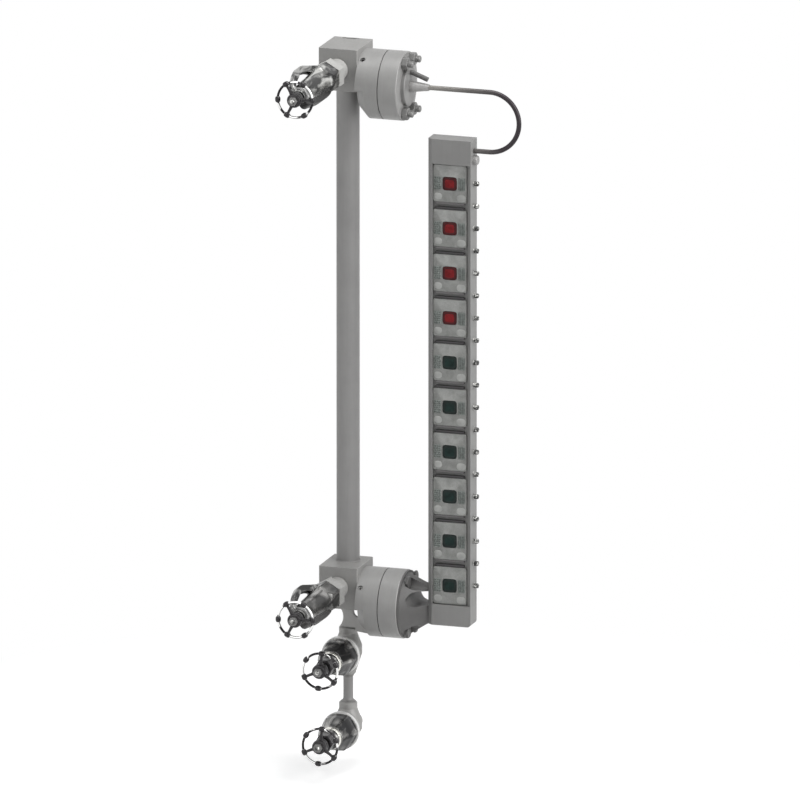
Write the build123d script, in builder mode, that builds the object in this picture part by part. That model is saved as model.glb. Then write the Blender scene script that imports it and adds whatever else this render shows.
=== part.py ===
from build123d import *
import os
from math import cos, radians, sin

# Bicolor level gauge for a boiler drum.
# Millimetres, +Z up. The operator stands on the -Y side and +X is to the operator's right.
# The origin is the mouth of the lower (water) process socket, in the back face of the lower block.

os.makedirs("parts", exist_ok=True)

# Fits
fit_clearance = 0.05
running_clearance = 0.08
loose_clearance = 0.5

# Blocks and process connections
process_spacing = 870.0
block_width = 66.0
block_depth = 83.0
block_height = 70.0
axis_below_top = 33.5
socket_radius = 13.7
socket_depth = 12.0
process_bore_radius = 7.0
seat_from_back = 18.0
chamber_radius = 10.0
port_radius = 5.0
port_drop = 18.0

# Column pipe
column_radius = 19.0
column_bore_radius = 8.0
column_from_back = 30.0
column_socket_depth = 4.0

# Connectors between the blocks and the gauge body
ring_radius = 57.0
ring_drop = 30.0
ring_from_back = block_depth / 2
ring_chamber_radius = 22.0
base_ring_length = 38.0
gasket_thickness = 1.5
gasket_inset = 1.5
cap_ring_length = 31.5
bevel_size = 14.5
bolt_inset = 11.0
bolt_angles = (65, 115, -65, -115)
bolt_radius = 6.0
bolt_thread_length = 16.0
nut_flats = 19.0
nut_height = 10.0
stud_end_length = 8.0
low_head_height = 7.0
set_screw_radius = 4.5
set_screw_depth = 9.0
set_screw_inset = 2.0
set_screw_from_block = 6.5
set_screw_angles = (125, 145)

# Upper end disc, tube nut and stay
disc_gap = 2.0
disc_thickness = 6.5
tube_nut_radius = 9.0
tube_nut_length = 32.0
tube_nut_land = 5.0
tube_nut_wall = 1.5
stay_radius = 4.0
stay_from_bolt_circle = 23.0
stay_reach = 30.0

# Expansion tube
tube_radius = 4.0
tube_bore_radius = 2.5
tube_bend_radius = 50.0
tube_bend_from_axis = 246.0
tube_socket_depth = 14.8

# Gauge body
cell_count = 10
red_cell_count = 4
cell_pitch = 75.0
lowest_cell_height = 10.0
body_left = 145.0
body_width = 74.0
body_bottom = -57.0
body_top = 759.0
frame_depth = 8.0
pressure_depth = 18.0
cover_depth = 8.0
body_corner_radius = 6.0
left_bevel = 7.5
right_bevel = 8.0
window_left_margin = 8.0
pane_gap = 1.0
cell_gap = 12.0
pane_thickness = 4.5
lens_side = 22.0
lens_thickness = 5.5
pad_lens_gap = 3.6
pad_edge_gap = 1.4
pad_height = 22.0
pad_thickness = 1.0
bar_inset = 3.0
bar_height = 3.0
bar_depth = 5.0
bar_offset = 4.0
flow_bore_radius = 4.0
sight_bore_radius = 5.0
glass_radius = 9.0
glass_thickness = 3.5
board_width = 36.0
board_thickness = 1.6
lamp_side = 6.0
lamp_height = 2.0
cover_wall = 2.0
cover_screw_radius = 2.0
cover_screw_head_radius = 3.5
cover_screw_head_height = 2.0
side_screw_count = 19
side_screw_radius = 4.0
side_screw_length = 8.5
side_screw_thread_radius = 2.5
side_screw_thread_length = 9.0
side_plug_radius = 8.0
side_plug_length = 8.0
side_plug_below_tube = 15.4

# Lower end cover, which carries the gauge body
arm_thickness = 24.0
arm_corner_radius = 4.0
arm_top = 4.0
arm_gap_left = 115.0
arm_gap_top = -2.5
arm_gap_bottom = -26.5
arm_passage_height = -41.0
cover_rim_inset = 1.0
cover_rim_thickness = 3.0
cover_root_step = 5.0
spot_face_depth = 7.0
spot_face_margin = 2.5

# Valves
stem_radius = 6.0
hub_seat_radius = 5.0
nut_thread_radius = 4.0
plug_radius = 8.5
plug_length = 9.0
plug_pin_radius = 4.0
plug_pin_length = 4.7
pin_end_gap = 0.3
pin_shoulder_gap = 0.2
cone_lead = 1.5
seat_gap = 0.3
stem_lift = 5.0
packing_bore_radius = 10.5
gland_flats = 27.0
wheel_gap = 1.0
wheel_rim_radius = 29.5
wheel_wire_radius = 2.0
wheel_node_radius = 4.5
wheel_node_length = 8.0
wheel_node_count = 6
spoke_radius = 2.2
spoke_count = 3
hub_radius = 12.0
hub_length = 18.0
wheel_nut_flats = 13.0
wheel_nut_height = 6.5
stem_end_length = 1.5

# Isolation valves, measured forward from the front faces of the blocks
neck_radius = 18.5
neck_round = 6.0
neck_length = 38.0
collar_flats = 46.5
collar_length = 24.0
iso_spigot_length = 8.0
iso_bonnet_flats = 45.0
iso_bonnet_hex_length = 33.0
iso_bonnet_nose_radius = 16.5
iso_bonnet_length = 127.0
iso_packing_depth = 29.0
iso_packing_length = 18.0
iso_gland_length = 10.0
iso_spoke_angle = 122.0
crosshead_gap = 1.0
crosshead_radius = 12.0
crosshead_length = 8.0

# Yoke arms of the isolation bonnets, measured forward from the collars
yoke_angles = {"high": 128.0, "low": -52.0}
yoke_thickness = 9.0
yoke_width = 9.0
yoke_foot_reach = 4.0
yoke_knee_reach = 75.0
yoke_knee_radius = 42.0
yoke_shoulder_reach = 112.0
yoke_shoulder_radius = 33.0
low_arm_reach = 48.0
low_arm_radius = 24.5
yoke_end_width = 3.6
yoke_nut_gap = 1.6

# Drain valves, measured forward from the axis of the drain line
first_drain_height = -118.0
drain_valve_spacing = 127.0
drain_seat_radius = 5.0
drain_seat_reach = 2.0
drain_barrel_radius = 22.8
drain_shoulder_height = 8.0
drain_hip_depth = 6.0
drain_waist_height = 29.0
drain_hub_radius = 15.0
drain_foot_radius = 13.0
drain_hub_half_height = 40.0
drain_hub_chamfer = 2.0
inlet_slope = 20.0
inlet_stops_short = 4.0
branch_root_radius = 20.0
branch_face_radius = 30.0
branch_reach = 36.0
drain_ring_radius = 31.6
drain_ring_length = 8.0
drain_bonnet_flats = 54.0
drain_spigot_grip = 6.0
drain_bonnet_length = 62.0
drain_bonnet_hex_length = 22.0
drain_bonnet_slope_reach = 42.0
drain_bonnet_slope_radius = 24.0
drain_bonnet_nose_radius = 17.0
drain_packing_depth = 26.0
drain_packing_length = 16.0
drain_gland_length = 24.0
drain_wheel_gap = 9.0
drain_spoke_angle = 84.0
drop_pipe_radius = 8.0
drop_pipe_bore_radius = 4.0
pipe_socket_depth = 8.0
outlet_socket_depth = 12.0

# Brace plate
brace_thickness = 8.0
brace_from_back = 37.0
brace_flare_side = -24.0
brace_waist_side = -5.0
brace_waist_height = -60.0
brace_foot_side = -12.0
brace_bottom = -83.0
brace_toe_bottom = -86.5
brace_hole_radius = 8.5
brace_hole_side = 20.0
brace_hole_height = -51.5

# Slot and plug in the top of the upper block
slot_length = 31.0
slot_width = 6.0
slot_depth = 3.0
slot_from_back = 5.5
slot_shift = -4.0
slot_plug_radius = 2.8
slot_plug_height = 2.5

# Derived sizes
nut_corner_radius = nut_flats / 2 / cos(radians(30))
gland_corner_radius = gland_flats / 2 / cos(radians(30))
bolt_circle_radius = ring_radius - bolt_inset
disc_radius = bolt_circle_radius - nut_corner_radius - disc_gap
stay_rise = bolt_circle_radius - stay_from_bolt_circle
stay_end_rise = tube_nut_radius + stay_radius
cover_root_radius = ring_radius - cover_root_step
window_width = body_width - window_left_margin - right_bevel
pane_width = window_width - 2 * pane_gap
pane_height = cell_pitch - cell_gap
pad_width = pane_width / 2 - lens_side / 2 - pad_lens_gap - pad_edge_gap
pad_offset = lens_side / 2 + pad_lens_gap + pad_width / 2
bar_width = pane_width - 2 * bar_inset
crosshead_back = iso_bonnet_length + iso_gland_length + crosshead_gap
crosshead_front = crosshead_back + crosshead_length
iso_hub_reach = neck_length + collar_length + crosshead_front + wheel_gap + stem_lift
drain_hub_reach = (branch_reach + drain_ring_length + drain_bonnet_length + drain_gland_length
                   + drain_wheel_gap)

# Derived places
block_face = block_width / 2
axis_heights = {"lower": 0.0, "upper": process_spacing}
ring_heights = {name: height - ring_drop for name, height in axis_heights.items()}
gasket_face = block_face + base_ring_length
cap_face = gasket_face + gasket_thickness
rim_face = cap_face + cap_ring_length
body_right = body_left + body_width
body_middle = body_left + body_width / 2
body_depth = frame_depth + pressure_depth + cover_depth
body_front = -ring_from_back - frame_depth - pressure_depth / 2
pressure_front = body_front + frame_depth
pressure_back = pressure_front + pressure_depth
body_height = body_top - body_bottom
tube_height = ring_heights["upper"]
tube_entry_height = tube_height - 2 * tube_bend_radius
cell_heights = [lowest_cell_height + index * cell_pitch for index in range(cell_count)]
gap_heights = [height + cell_pitch / 2 for height in cell_heights[:-1]]
second_drain_height = first_drain_height - drain_valve_spacing
drain_heights = {"first": first_drain_height, "second": second_drain_height}
block_top = axis_below_top
block_bottom = axis_below_top - block_height


def save(piece, label):
    """Name a finished piece and write it."""
    piece.part.label = label
    export_step(piece.part, f"parts/{label}.step")


def front_plane(forward, height, side=0.0):
    """Plane that faces the operator, a distance forward of the back faces of the blocks."""
    return Plane(origin=(side, -forward, height), x_dir=(1, 0, 0), z_dir=(0, -1, 0))


def back_plane(forward, height, side=0.0):
    """Plane that faces the boiler."""
    return Plane(origin=(side, -forward, height), x_dir=(-1, 0, 0), z_dir=(0, 1, 0))


def stem_section(forward, height):
    """Plane through a stem axis: local x runs forward along the stem, local y is the radius."""
    return Plane(origin=(0, -forward, height), x_dir=(0, -1, 0), z_dir=(1, 0, 0))


def right_plane(side, height):
    """Plane across a connector, facing +X: local x is +Y and local y is +Z."""
    return Plane(origin=(side, -ring_from_back, height), x_dir=(0, 1, 0), z_dir=(1, 0, 0))


def polar_point(radius, angle):
    """Point at a radius and an angle in degrees."""
    return (radius * cos(radians(angle)), radius * sin(radians(angle)))


def turned(points, section):
    """Revolve a closed profile of (distance along the axis, radius) about a section plane's x axis."""
    with BuildSketch(section) as profile:
        with BuildLine():
            Polyline(*points, close=True)
        make_face()
    revolve(profile.sketch, axis=Axis(section.origin, section.x_dir))


def block(label, level, column_above):
    """Valve block with its process socket, valve chamber, column seat and connector port."""
    axis_height = axis_heights[level]
    top = axis_height + block_top
    with BuildPart() as body:
        with BuildSketch(Plane.XY.offset(top)):
            with Locations((0, -block_depth / 2)):
                Rectangle(block_width, block_depth)
        extrude(amount=-block_height)
        chamfer(body.edges().filter_by(Axis.Z), length=1.0)
        with Locations(back_plane(0, axis_height)):
            CounterBoreHole(process_bore_radius, socket_radius, socket_depth, seat_from_back)
        with Locations(front_plane(block_depth, axis_height)):
            Hole(chamber_radius, depth=block_depth - seat_from_back)
        with Locations(Plane(origin=(block_face, -column_from_back, axis_height - port_drop),
                             z_dir=(1, 0, 0))):
            Hole(port_radius, depth=block_face)
        seat_height = top if column_above else top - block_height
        seat_direction = 1 if column_above else -1
        with Locations(Plane(origin=(0, -column_from_back, seat_height), z_dir=(0, 0, seat_direction))):
            CounterBoreHole(column_bore_radius, column_radius + fit_clearance, column_socket_depth,
                            abs(seat_height - axis_height))
        if column_above:
            with Locations(Plane(origin=(0, -column_from_back, axis_height + block_bottom),
                                 z_dir=(0, 0, -1))):
                CounterBoreHole(drop_pipe_bore_radius, drop_pipe_radius + fit_clearance,
                                pipe_socket_depth / 2, abs(block_bottom))
        else:
            with BuildSketch(Plane.XY.offset(top)):
                with Locations((slot_shift, -slot_from_back)):
                    SlotOverall(slot_length, slot_width)
            extrude(amount=-slot_depth, mode=Mode.SUBTRACT)
    save(body, label)


def slot_plug():
    """Small round plug at the right-hand end of the slot."""
    top = process_spacing + block_top
    with BuildPart() as plug:
        with BuildSketch(Plane.XY.offset(top - slot_depth)):
            with Locations((slot_shift + (slot_length - slot_width) / 2, -slot_from_back)):
                Circle(slot_plug_radius)
        extrude(amount=slot_plug_height)
        chamfer(plug.faces().sort_by(Axis.Z)[-1].edges(), length=0.4)
    save(plug, "slot_plug")


def column_pipe():
    """Pipe between the two blocks, seated in a shallow socket at each end."""
    lower_end = block_top - column_socket_depth
    upper_end = process_spacing + block_bottom + column_socket_depth
    with BuildPart() as column:
        with BuildSketch(Plane.XY.offset(lower_end)):
            with Locations((0, -column_from_back)):
                Circle(column_radius)
                Circle(column_bore_radius, mode=Mode.SUBTRACT)
        extrude(amount=upper_end - lower_end)
    save(column, "column_pipe")


def base_ring(label, level, screw_angle):
    """Connector base ring, welded to the block, with a bevel round its lower half."""
    height = ring_heights[level]
    axis = Axis((0, -ring_from_back, height), (1, 0, 0))
    with BuildPart() as ring:
        with BuildSketch(right_plane(block_face, height)):
            Circle(ring_radius)
            Circle(ring_chamber_radius, mode=Mode.SUBTRACT)
        extrude(amount=base_ring_length)
        with BuildSketch(Plane.XY.offset(height)):
            with BuildLine():
                Polyline((block_face, -ring_from_back - ring_radius + bevel_size),
                         (block_face, -ring_from_back - ring_radius - 1),
                         (block_face + bevel_size + 1, -ring_from_back - ring_radius - 1), close=True)
            make_face()
        revolve(axis=axis, revolution_arc=180, mode=Mode.SUBTRACT)
        with Locations(right_plane(gasket_face, height)):
            with Locations(*[polar_point(bolt_circle_radius, angle) for angle in bolt_angles]):
                Hole(bolt_radius + fit_clearance, depth=bolt_thread_length)
        with Locations(set_screw_plane(height, screw_angle)):
            Hole(set_screw_radius + fit_clearance, depth=set_screw_inset + set_screw_depth)
    save(ring, label)


def set_screw_plane(height, angle):
    """Plane on the base ring's rounded side, facing outward, where its set screw goes in."""
    along, rise = polar_point(1, angle)
    side = block_face + set_screw_from_block
    return Plane(origin=(side, -ring_from_back + ring_radius * along, height + ring_radius * rise),
                 x_dir=(1, 0, 0), z_dir=(0, along, rise))


def ring_set_screws():
    """Socket set screws, sunk in the base rings."""
    with BuildPart() as screws:
        for level, angle in zip(("upper", "lower"), set_screw_angles):
            mouth = set_screw_plane(ring_heights[level], angle)
            with BuildSketch(mouth.offset(-set_screw_inset - set_screw_depth)):
                Circle(set_screw_radius)
            extrude(amount=set_screw_depth)
            with BuildSketch(mouth.offset(-set_screw_inset)):
                RegularPolygon(set_screw_radius / 2, 6)
            extrude(amount=-set_screw_depth / 2, mode=Mode.SUBTRACT)
    save(screws, "ring_set_screws")


def ring_gaskets():
    """Flat gaskets between base and cap rings, a little smaller, so that a groove shows."""
    with BuildPart() as gaskets:
        for height in ring_heights.values():
            with BuildSketch(right_plane(gasket_face, height)):
                Circle(ring_radius - gasket_inset)
                Circle(ring_chamber_radius, mode=Mode.SUBTRACT)
                with Locations(*[polar_point(bolt_circle_radius, angle) for angle in bolt_angles]):
                    Circle(bolt_radius + fit_clearance, mode=Mode.SUBTRACT)
            extrude(amount=gasket_thickness)
    save(gaskets, "ring_gaskets")


def cap_ring(label, level):
    """Connector cap ring, clamped to the base ring by four stud bolts."""
    with BuildPart() as ring:
        with BuildSketch(right_plane(cap_face, ring_heights[level])):
            Circle(ring_radius)
            Circle(ring_chamber_radius, mode=Mode.SUBTRACT)
            with Locations(*[polar_point(bolt_circle_radius, angle) for angle in bolt_angles]):
                Circle(bolt_radius + fit_clearance, mode=Mode.SUBTRACT)
        extrude(amount=cap_ring_length)
        rim = ring.faces().sort_by(Axis.X)[-1].edges().sort_by(SortBy.LENGTH)[-1]
        chamfer(rim, length=1.0)
    save(ring, label)


def ring_bolts():
    """Stud bolts with nuts: tall ones on the upper connector, low heads in the lower end cover."""
    with BuildPart() as bolts:
        for level in ("upper", "lower"):
            height = ring_heights[level]
            is_upper = level == "upper"
            seat = rim_face if is_upper else rim_face + spot_face_depth
            head = nut_height if is_upper else low_head_height
            places = [polar_point(bolt_circle_radius, angle) for angle in bolt_angles]
            with BuildSketch(right_plane(gasket_face - bolt_thread_length + 1, height)):
                with Locations(*places):
                    Circle(bolt_radius)
            extrude(amount=seat - gasket_face + bolt_thread_length - 1)
            with BuildSketch(right_plane(seat, height)):
                with Locations(*places):
                    RegularPolygon(nut_flats / 2, 6, major_radius=False)
            extrude(amount=head)
            if is_upper:
                with BuildSketch(right_plane(seat + head, height)):
                    with Locations(*places):
                        Circle(bolt_radius)
                extrude(amount=stud_end_length, taper=8)
    save(bolts, "ring_bolts")


def end_disc():
    """Disc that closes the upper connector and passes the expansion tube."""
    with BuildPart() as disc:
        with BuildSketch(right_plane(rim_face, tube_height)):
            Circle(disc_radius)
        extrude(amount=disc_thickness)
        with BuildSketch(right_plane(rim_face, tube_height)):
            Circle(ring_chamber_radius - fit_clearance)
        extrude(amount=-disc_thickness)
        with Locations(right_plane(rim_face + disc_thickness, tube_height)):
            Hole(tube_radius + fit_clearance, depth=2 * disc_thickness)
        with Locations(right_plane(rim_face + disc_thickness, tube_height)):
            with Locations((0, stay_rise)):
                Hole(stay_radius + fit_clearance, depth=disc_thickness / 2)
        front_rim = disc.faces().sort_by(Axis.X)[-1].edges().sort_by(SortBy.LENGTH)[-1]
        chamfer(front_rim, length=1.0)
    save(disc, "upper_end_disc")


def tube_nut():
    """Tapered nut round the tube where it leaves the upper connector."""
    start = rim_face + disc_thickness
    section = Plane(origin=(start, -ring_from_back, tube_height), x_dir=(1, 0, 0), z_dir=(0, 1, 0))
    inner = tube_radius + fit_clearance
    with BuildPart() as nut:
        turned([(0, inner), (0, tube_nut_radius), (tube_nut_land, tube_nut_radius),
                (tube_nut_length, tube_radius + tube_nut_wall), (tube_nut_length, inner)], section)
    save(nut, "tube_nut")


def tube_stay():
    """Round bar from the end disc, sloping down to just above the tube nut."""
    start = rim_face + disc_thickness
    with BuildPart() as stay:
        with BuildLine() as route:
            Polyline((start - disc_thickness / 2, -ring_from_back, tube_height + stay_rise),
                     (start + stay_radius, -ring_from_back, tube_height + stay_rise),
                     (start + stay_reach, -ring_from_back, tube_height + stay_end_rise))
        with BuildSketch(right_plane(start - disc_thickness / 2, tube_height)):
            with Locations((0, stay_rise)):
                Circle(stay_radius)
        sweep(path=route.line, transition=Transition.RIGHT)
    save(stay, "tube_stay")


def expansion_tube():
    """Tube from the upper connector, round one U-bend, into the right side of the gauge body."""
    start = rim_face - disc_thickness
    socket_end = body_right - tube_socket_depth
    depth = -ring_from_back
    with BuildPart() as tube:
        with BuildLine() as route:
            out = Line((start, depth, tube_height), (tube_bend_from_axis, depth, tube_height))
            bend = ThreePointArc(out @ 1, (tube_bend_from_axis + tube_bend_radius, depth,
                                           tube_height - tube_bend_radius),
                                 (tube_bend_from_axis, depth, tube_entry_height))
            Line(bend @ 1, (socket_end, depth, tube_entry_height))
        with BuildSketch(right_plane(start, tube_height)):
            Circle(tube_radius)
            Circle(tube_bore_radius, mode=Mode.SUBTRACT)
        sweep(path=route.wire())
    save(tube, "expansion_tube")


def lower_end_cover():
    """Tapered cover that runs from the lower connector into the side of the gauge body."""
    height = ring_heights["lower"]
    arm_middle = (arm_top + body_bottom) / 2
    gap_middle = (arm_gap_top + arm_gap_bottom) / 2
    gap_height = arm_gap_top - arm_gap_bottom
    with BuildPart() as cover:
        with BuildSketch(right_plane(rim_face, height)):
            Circle(ring_radius - cover_rim_inset)
        extrude(amount=cover_rim_thickness)
        with BuildSketch(right_plane(rim_face + cover_rim_thickness, height)):
            Circle(cover_root_radius)
        with BuildSketch(right_plane(body_left, height)):
            with Locations((0, arm_middle - height)):
                RectangleRounded(arm_thickness, arm_top - body_bottom, arm_corner_radius)
        loft()
        with BuildSketch(front_plane(ring_from_back + ring_radius, gap_middle, body_left)):
            SlotOverall(2 * (body_left - arm_gap_left), gap_height)
        extrude(amount=-2 * ring_radius, mode=Mode.SUBTRACT)
        with Locations(right_plane(rim_face + spot_face_depth, height)):
            with Locations(*[polar_point(bolt_circle_radius, angle) for angle in bolt_angles]):
                Hole(bolt_radius + fit_clearance, depth=spot_face_depth)
        with BuildSketch(right_plane(rim_face + spot_face_depth, height)):
            with Locations(*[polar_point(bolt_circle_radius, angle) for angle in bolt_angles]):
                Circle(nut_flats / 2 + spot_face_margin)
        extrude(amount=body_left, mode=Mode.SUBTRACT)
        with Locations(right_plane(body_left, arm_passage_height)):
            Hole(flow_bore_radius, depth=body_left - rim_face)
    save(cover, "lower_end_cover")


def body_outline(plane):
    """Outline shared by the three layers of the gauge body; only its lower right corner is round."""
    with BuildSketch(plane) as outline:
        Rectangle(body_width, body_height)
        lower_right = outline.vertices().group_by(Axis.Y)[0].sort_by(Axis.X)[-1]
        fillet(lower_right, radius=body_corner_radius)
    return outline.sketch


def gauge_body():
    """Pressure body: flow bore, sight bores with glass seats, and the two side connections."""
    with BuildPart() as body:
        outline = body_outline(front_plane(-pressure_back, (body_top + body_bottom) / 2, body_middle))
        extrude(outline, amount=pressure_depth)
        with BuildSketch(Plane.XY.offset(arm_passage_height)):
            with Locations((body_middle, -ring_from_back)):
                Circle(flow_bore_radius)
        extrude(amount=tube_entry_height - arm_passage_height, mode=Mode.SUBTRACT)
        with Locations(Plane(origin=(body_right, -ring_from_back, tube_entry_height), z_dir=(1, 0, 0))):
            CounterBoreHole(tube_bore_radius, tube_radius + fit_clearance, tube_socket_depth,
                            body_width / 2)
        with Locations(Plane(origin=(body_left, -ring_from_back, arm_passage_height), z_dir=(-1, 0, 0))):
            Hole(flow_bore_radius, depth=body_width / 2)
        for height in cell_heights:
            with Locations(front_plane(-pressure_front, height, body_middle)):
                CounterBoreHole(sight_bore_radius, glass_radius + fit_clearance, glass_thickness)
            with Locations(back_plane(-pressure_back, height, body_middle)):
                Hole(glass_radius + fit_clearance, depth=glass_thickness)
        with Locations(*[Plane(origin=(body_right, -ring_from_back, height), z_dir=(1, 0, 0))
                         for height in side_screw_heights()]):
            Hole(side_screw_thread_radius + fit_clearance, depth=side_screw_thread_length)
        with Locations(*[back_plane(-pressure_back, height, side) for side, height in cover_screw_places()]):
            Hole(cover_screw_radius + fit_clearance, depth=pressure_depth / 2)
    save(body, "gauge_body")


def side_screw_heights():
    """Heights of the screws down the right side, two for each cell."""
    return [lowest_cell_height + index * cell_pitch / 2 for index in range(side_screw_count)]


def cover_screw_places():
    """Side and height of each back cover screw."""
    inset = cover_screw_head_radius + cover_wall * 0.75
    sides = (body_left + inset, body_right - inset)
    heights = (cell_heights[0], cell_heights[5], cell_heights[-1])
    return [(side, height + cell_pitch / 4) for side in sides for height in heights]


def front_frame():
    """Frame round the cells: bevelled outside on the left and inside on the right."""
    window_height = cell_heights[-1] - cell_heights[0] + pane_height + 2
    window_middle = (cell_heights[-1] + cell_heights[0]) / 2
    window_side = body_left + window_left_margin + window_width / 2
    with BuildPart() as frame:
        outline = body_outline(front_plane(-pressure_front, (body_top + body_bottom) / 2, body_middle))
        extrude(outline, amount=frame_depth)
        with BuildSketch(front_plane(-pressure_front, window_middle, window_side)):
            Rectangle(window_width, window_height)
        extrude(amount=frame_depth, mode=Mode.SUBTRACT)
        with BuildSketch(Plane.XY.offset(body_bottom)):
            with BuildLine():
                Polyline((body_left, body_front), (body_left + left_bevel, body_front),
                         (body_left, body_front + left_bevel * 0.75), close=True)
            make_face()
        extrude(amount=body_height, mode=Mode.SUBTRACT)
        right_wall = window_side + window_width / 2
        with BuildSketch(Plane.XY.offset(window_middle - window_height / 2)):
            with BuildLine():
                Polyline((right_wall, body_front), (right_wall + right_bevel - 1, body_front),
                         (right_wall, body_front + right_bevel * 0.8), close=True)
            make_face()
        extrude(amount=window_height, mode=Mode.SUBTRACT)
    save(frame, "front_frame")


def cell_panes():
    """Panes over the cells, each with a square hole for its lens."""
    with BuildPart() as panes:
        for height in cell_heights:
            with BuildSketch(front_plane(-pressure_front, height, body_middle)):
                RectangleRounded(pane_width, pane_height, 2.0)
                Rectangle(lens_side + loose_clearance, lens_side + loose_clearance, mode=Mode.SUBTRACT)
            extrude(amount=pane_thickness)
    save(panes, "cell_panes")


def lenses(label, heights):
    """Square coloured lenses in front of the sight bores."""
    with BuildPart() as group:
        for height in heights:
            with BuildSketch(front_plane(-pressure_front, height, body_middle)):
                Rectangle(lens_side, lens_side)
            extrude(amount=lens_thickness)
        chamfer(group.faces().group_by(Axis.Y)[0].edges(), length=1.0)
    save(group, label)


def side_pads():
    """Pads on both sides of each lens."""
    with BuildPart() as pads:
        for height in cell_heights:
            with BuildSketch(front_plane(-pressure_front + pane_thickness, height, body_middle)):
                with Locations((-pad_offset, 0), (pad_offset, 0)):
                    Rectangle(pad_width, pad_height)
            extrude(amount=pad_thickness)
    save(pads, "side_pads")


def separator_bars():
    """Two thin bars across each gap between cells."""
    with BuildPart() as bars:
        for height in gap_heights:
            with BuildSketch(front_plane(-pressure_front, height, body_middle)):
                with Locations((0, -bar_offset), (0, bar_offset)):
                    Rectangle(bar_width, bar_height)
            extrude(amount=bar_depth)
    save(bars, "separator_bars")


def port_glasses():
    """Round glasses in front of and behind each sight bore."""
    with BuildPart() as glasses:
        for height in cell_heights:
            with BuildSketch(front_plane(-pressure_front, height, body_middle)):
                Circle(glass_radius)
            extrude(amount=-glass_thickness)
            with BuildSketch(front_plane(-pressure_back, height, body_middle)):
                Circle(glass_radius)
            extrude(amount=glass_thickness)
    save(glasses, "port_glasses")


def lamp_board():
    """Board with one lamp behind each rear port glass."""
    board_back = pressure_back + cover_depth - cover_wall
    board_length = cell_heights[-1] - cell_heights[0] + cell_pitch / 2
    board_middle = (cell_heights[-1] + cell_heights[0]) / 2
    with BuildPart() as board:
        with BuildSketch(front_plane(-board_back, board_middle, body_middle)):
            Rectangle(board_width, board_length)
        extrude(amount=board_thickness)
        for height in cell_heights:
            with BuildSketch(front_plane(-board_back + board_thickness, height, body_middle)):
                Rectangle(lamp_side, lamp_side)
            extrude(amount=lamp_height)
    save(board, "lamp_board")


def back_cover():
    """Shallow tray over the lamp board."""
    middle = (body_top + body_bottom) / 2
    with BuildPart() as cover:
        outline = body_outline(front_plane(-pressure_back - cover_depth, middle, body_middle))
        extrude(outline, amount=cover_depth)
        with BuildSketch(front_plane(-pressure_back, middle, body_middle)):
            RectangleRounded(body_width - 2 * cover_wall, body_height - 2 * cover_wall,
                             body_corner_radius - cover_wall)
        extrude(amount=-(cover_depth - cover_wall), mode=Mode.SUBTRACT)
        with BuildSketch(front_plane(-pressure_back, middle, body_middle)):
            with Locations(*[(side - body_middle, height - middle) for side, height in cover_screw_places()]):
                Circle(cover_screw_head_radius)
        extrude(amount=-(cover_depth - cover_wall))
        with Locations(*[back_plane(-pressure_back - cover_depth, height, side)
                         for side, height in cover_screw_places()]):
            Hole(cover_screw_radius + fit_clearance, depth=cover_depth)
        chamfer(cover.faces().sort_by(Axis.Y)[-1].outer_wire().edges(), length=1.0)
    save(cover, "back_cover")


def cover_screws():
    """Pan-head screws of the back cover."""
    with BuildPart() as screws:
        for side, height in cover_screw_places():
            with BuildSketch(back_plane(-pressure_back - cover_depth, height, side)):
                Circle(cover_screw_head_radius)
            extrude(amount=cover_screw_head_height, taper=20)
            with BuildSketch(back_plane(-pressure_back - cover_depth, height, side)):
                Circle(cover_screw_radius)
            extrude(amount=-(cover_depth + pressure_depth / 2 - 1))
    save(screws, "cover_screws")


def side_screws():
    """Round-head screws down the right side of the gauge body."""
    with BuildPart() as screws:
        for height in side_screw_heights():
            seat = Plane(origin=(body_right, -ring_from_back, height), z_dir=(1, 0, 0))
            with BuildSketch(seat):
                Circle(side_screw_radius)
            extrude(amount=side_screw_length, taper=6)
            with BuildSketch(seat):
                Circle(side_screw_thread_radius)
            extrude(amount=-(side_screw_thread_length - 1))
    save(screws, "side_screws")


def side_plug():
    """Rounded plug just below the tube entry."""
    seat = Plane(origin=(body_right, -ring_from_back, tube_entry_height - side_plug_below_tube),
                 z_dir=(1, 0, 0))
    with BuildPart() as plug:
        with BuildSketch(seat):
            Circle(side_plug_radius)
        extrude(amount=side_plug_length)
        fillet(plug.faces().sort_by(Axis.X)[-1].edges(), radius=3.0)
    save(plug, "side_plug")


def drop_pipes():
    """Two lengths of pipe: lower block to first drain valve, and first to second drain valve."""
    spans = (
        (block_bottom + pipe_socket_depth / 2,
         first_drain_height + drain_hub_half_height - pipe_socket_depth),
        (first_drain_height - drain_hub_half_height + pipe_socket_depth,
         second_drain_height + drain_hub_half_height - pipe_socket_depth),
    )
    with BuildPart() as pipes:
        for top, bottom in spans:
            with BuildSketch(Plane.XY.offset(bottom)):
                with Locations((0, -column_from_back)):
                    Circle(drop_pipe_radius)
                    Circle(drop_pipe_bore_radius, mode=Mode.SUBTRACT)
            extrude(amount=top - bottom)
    save(pipes, "drop_pipes")


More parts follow.
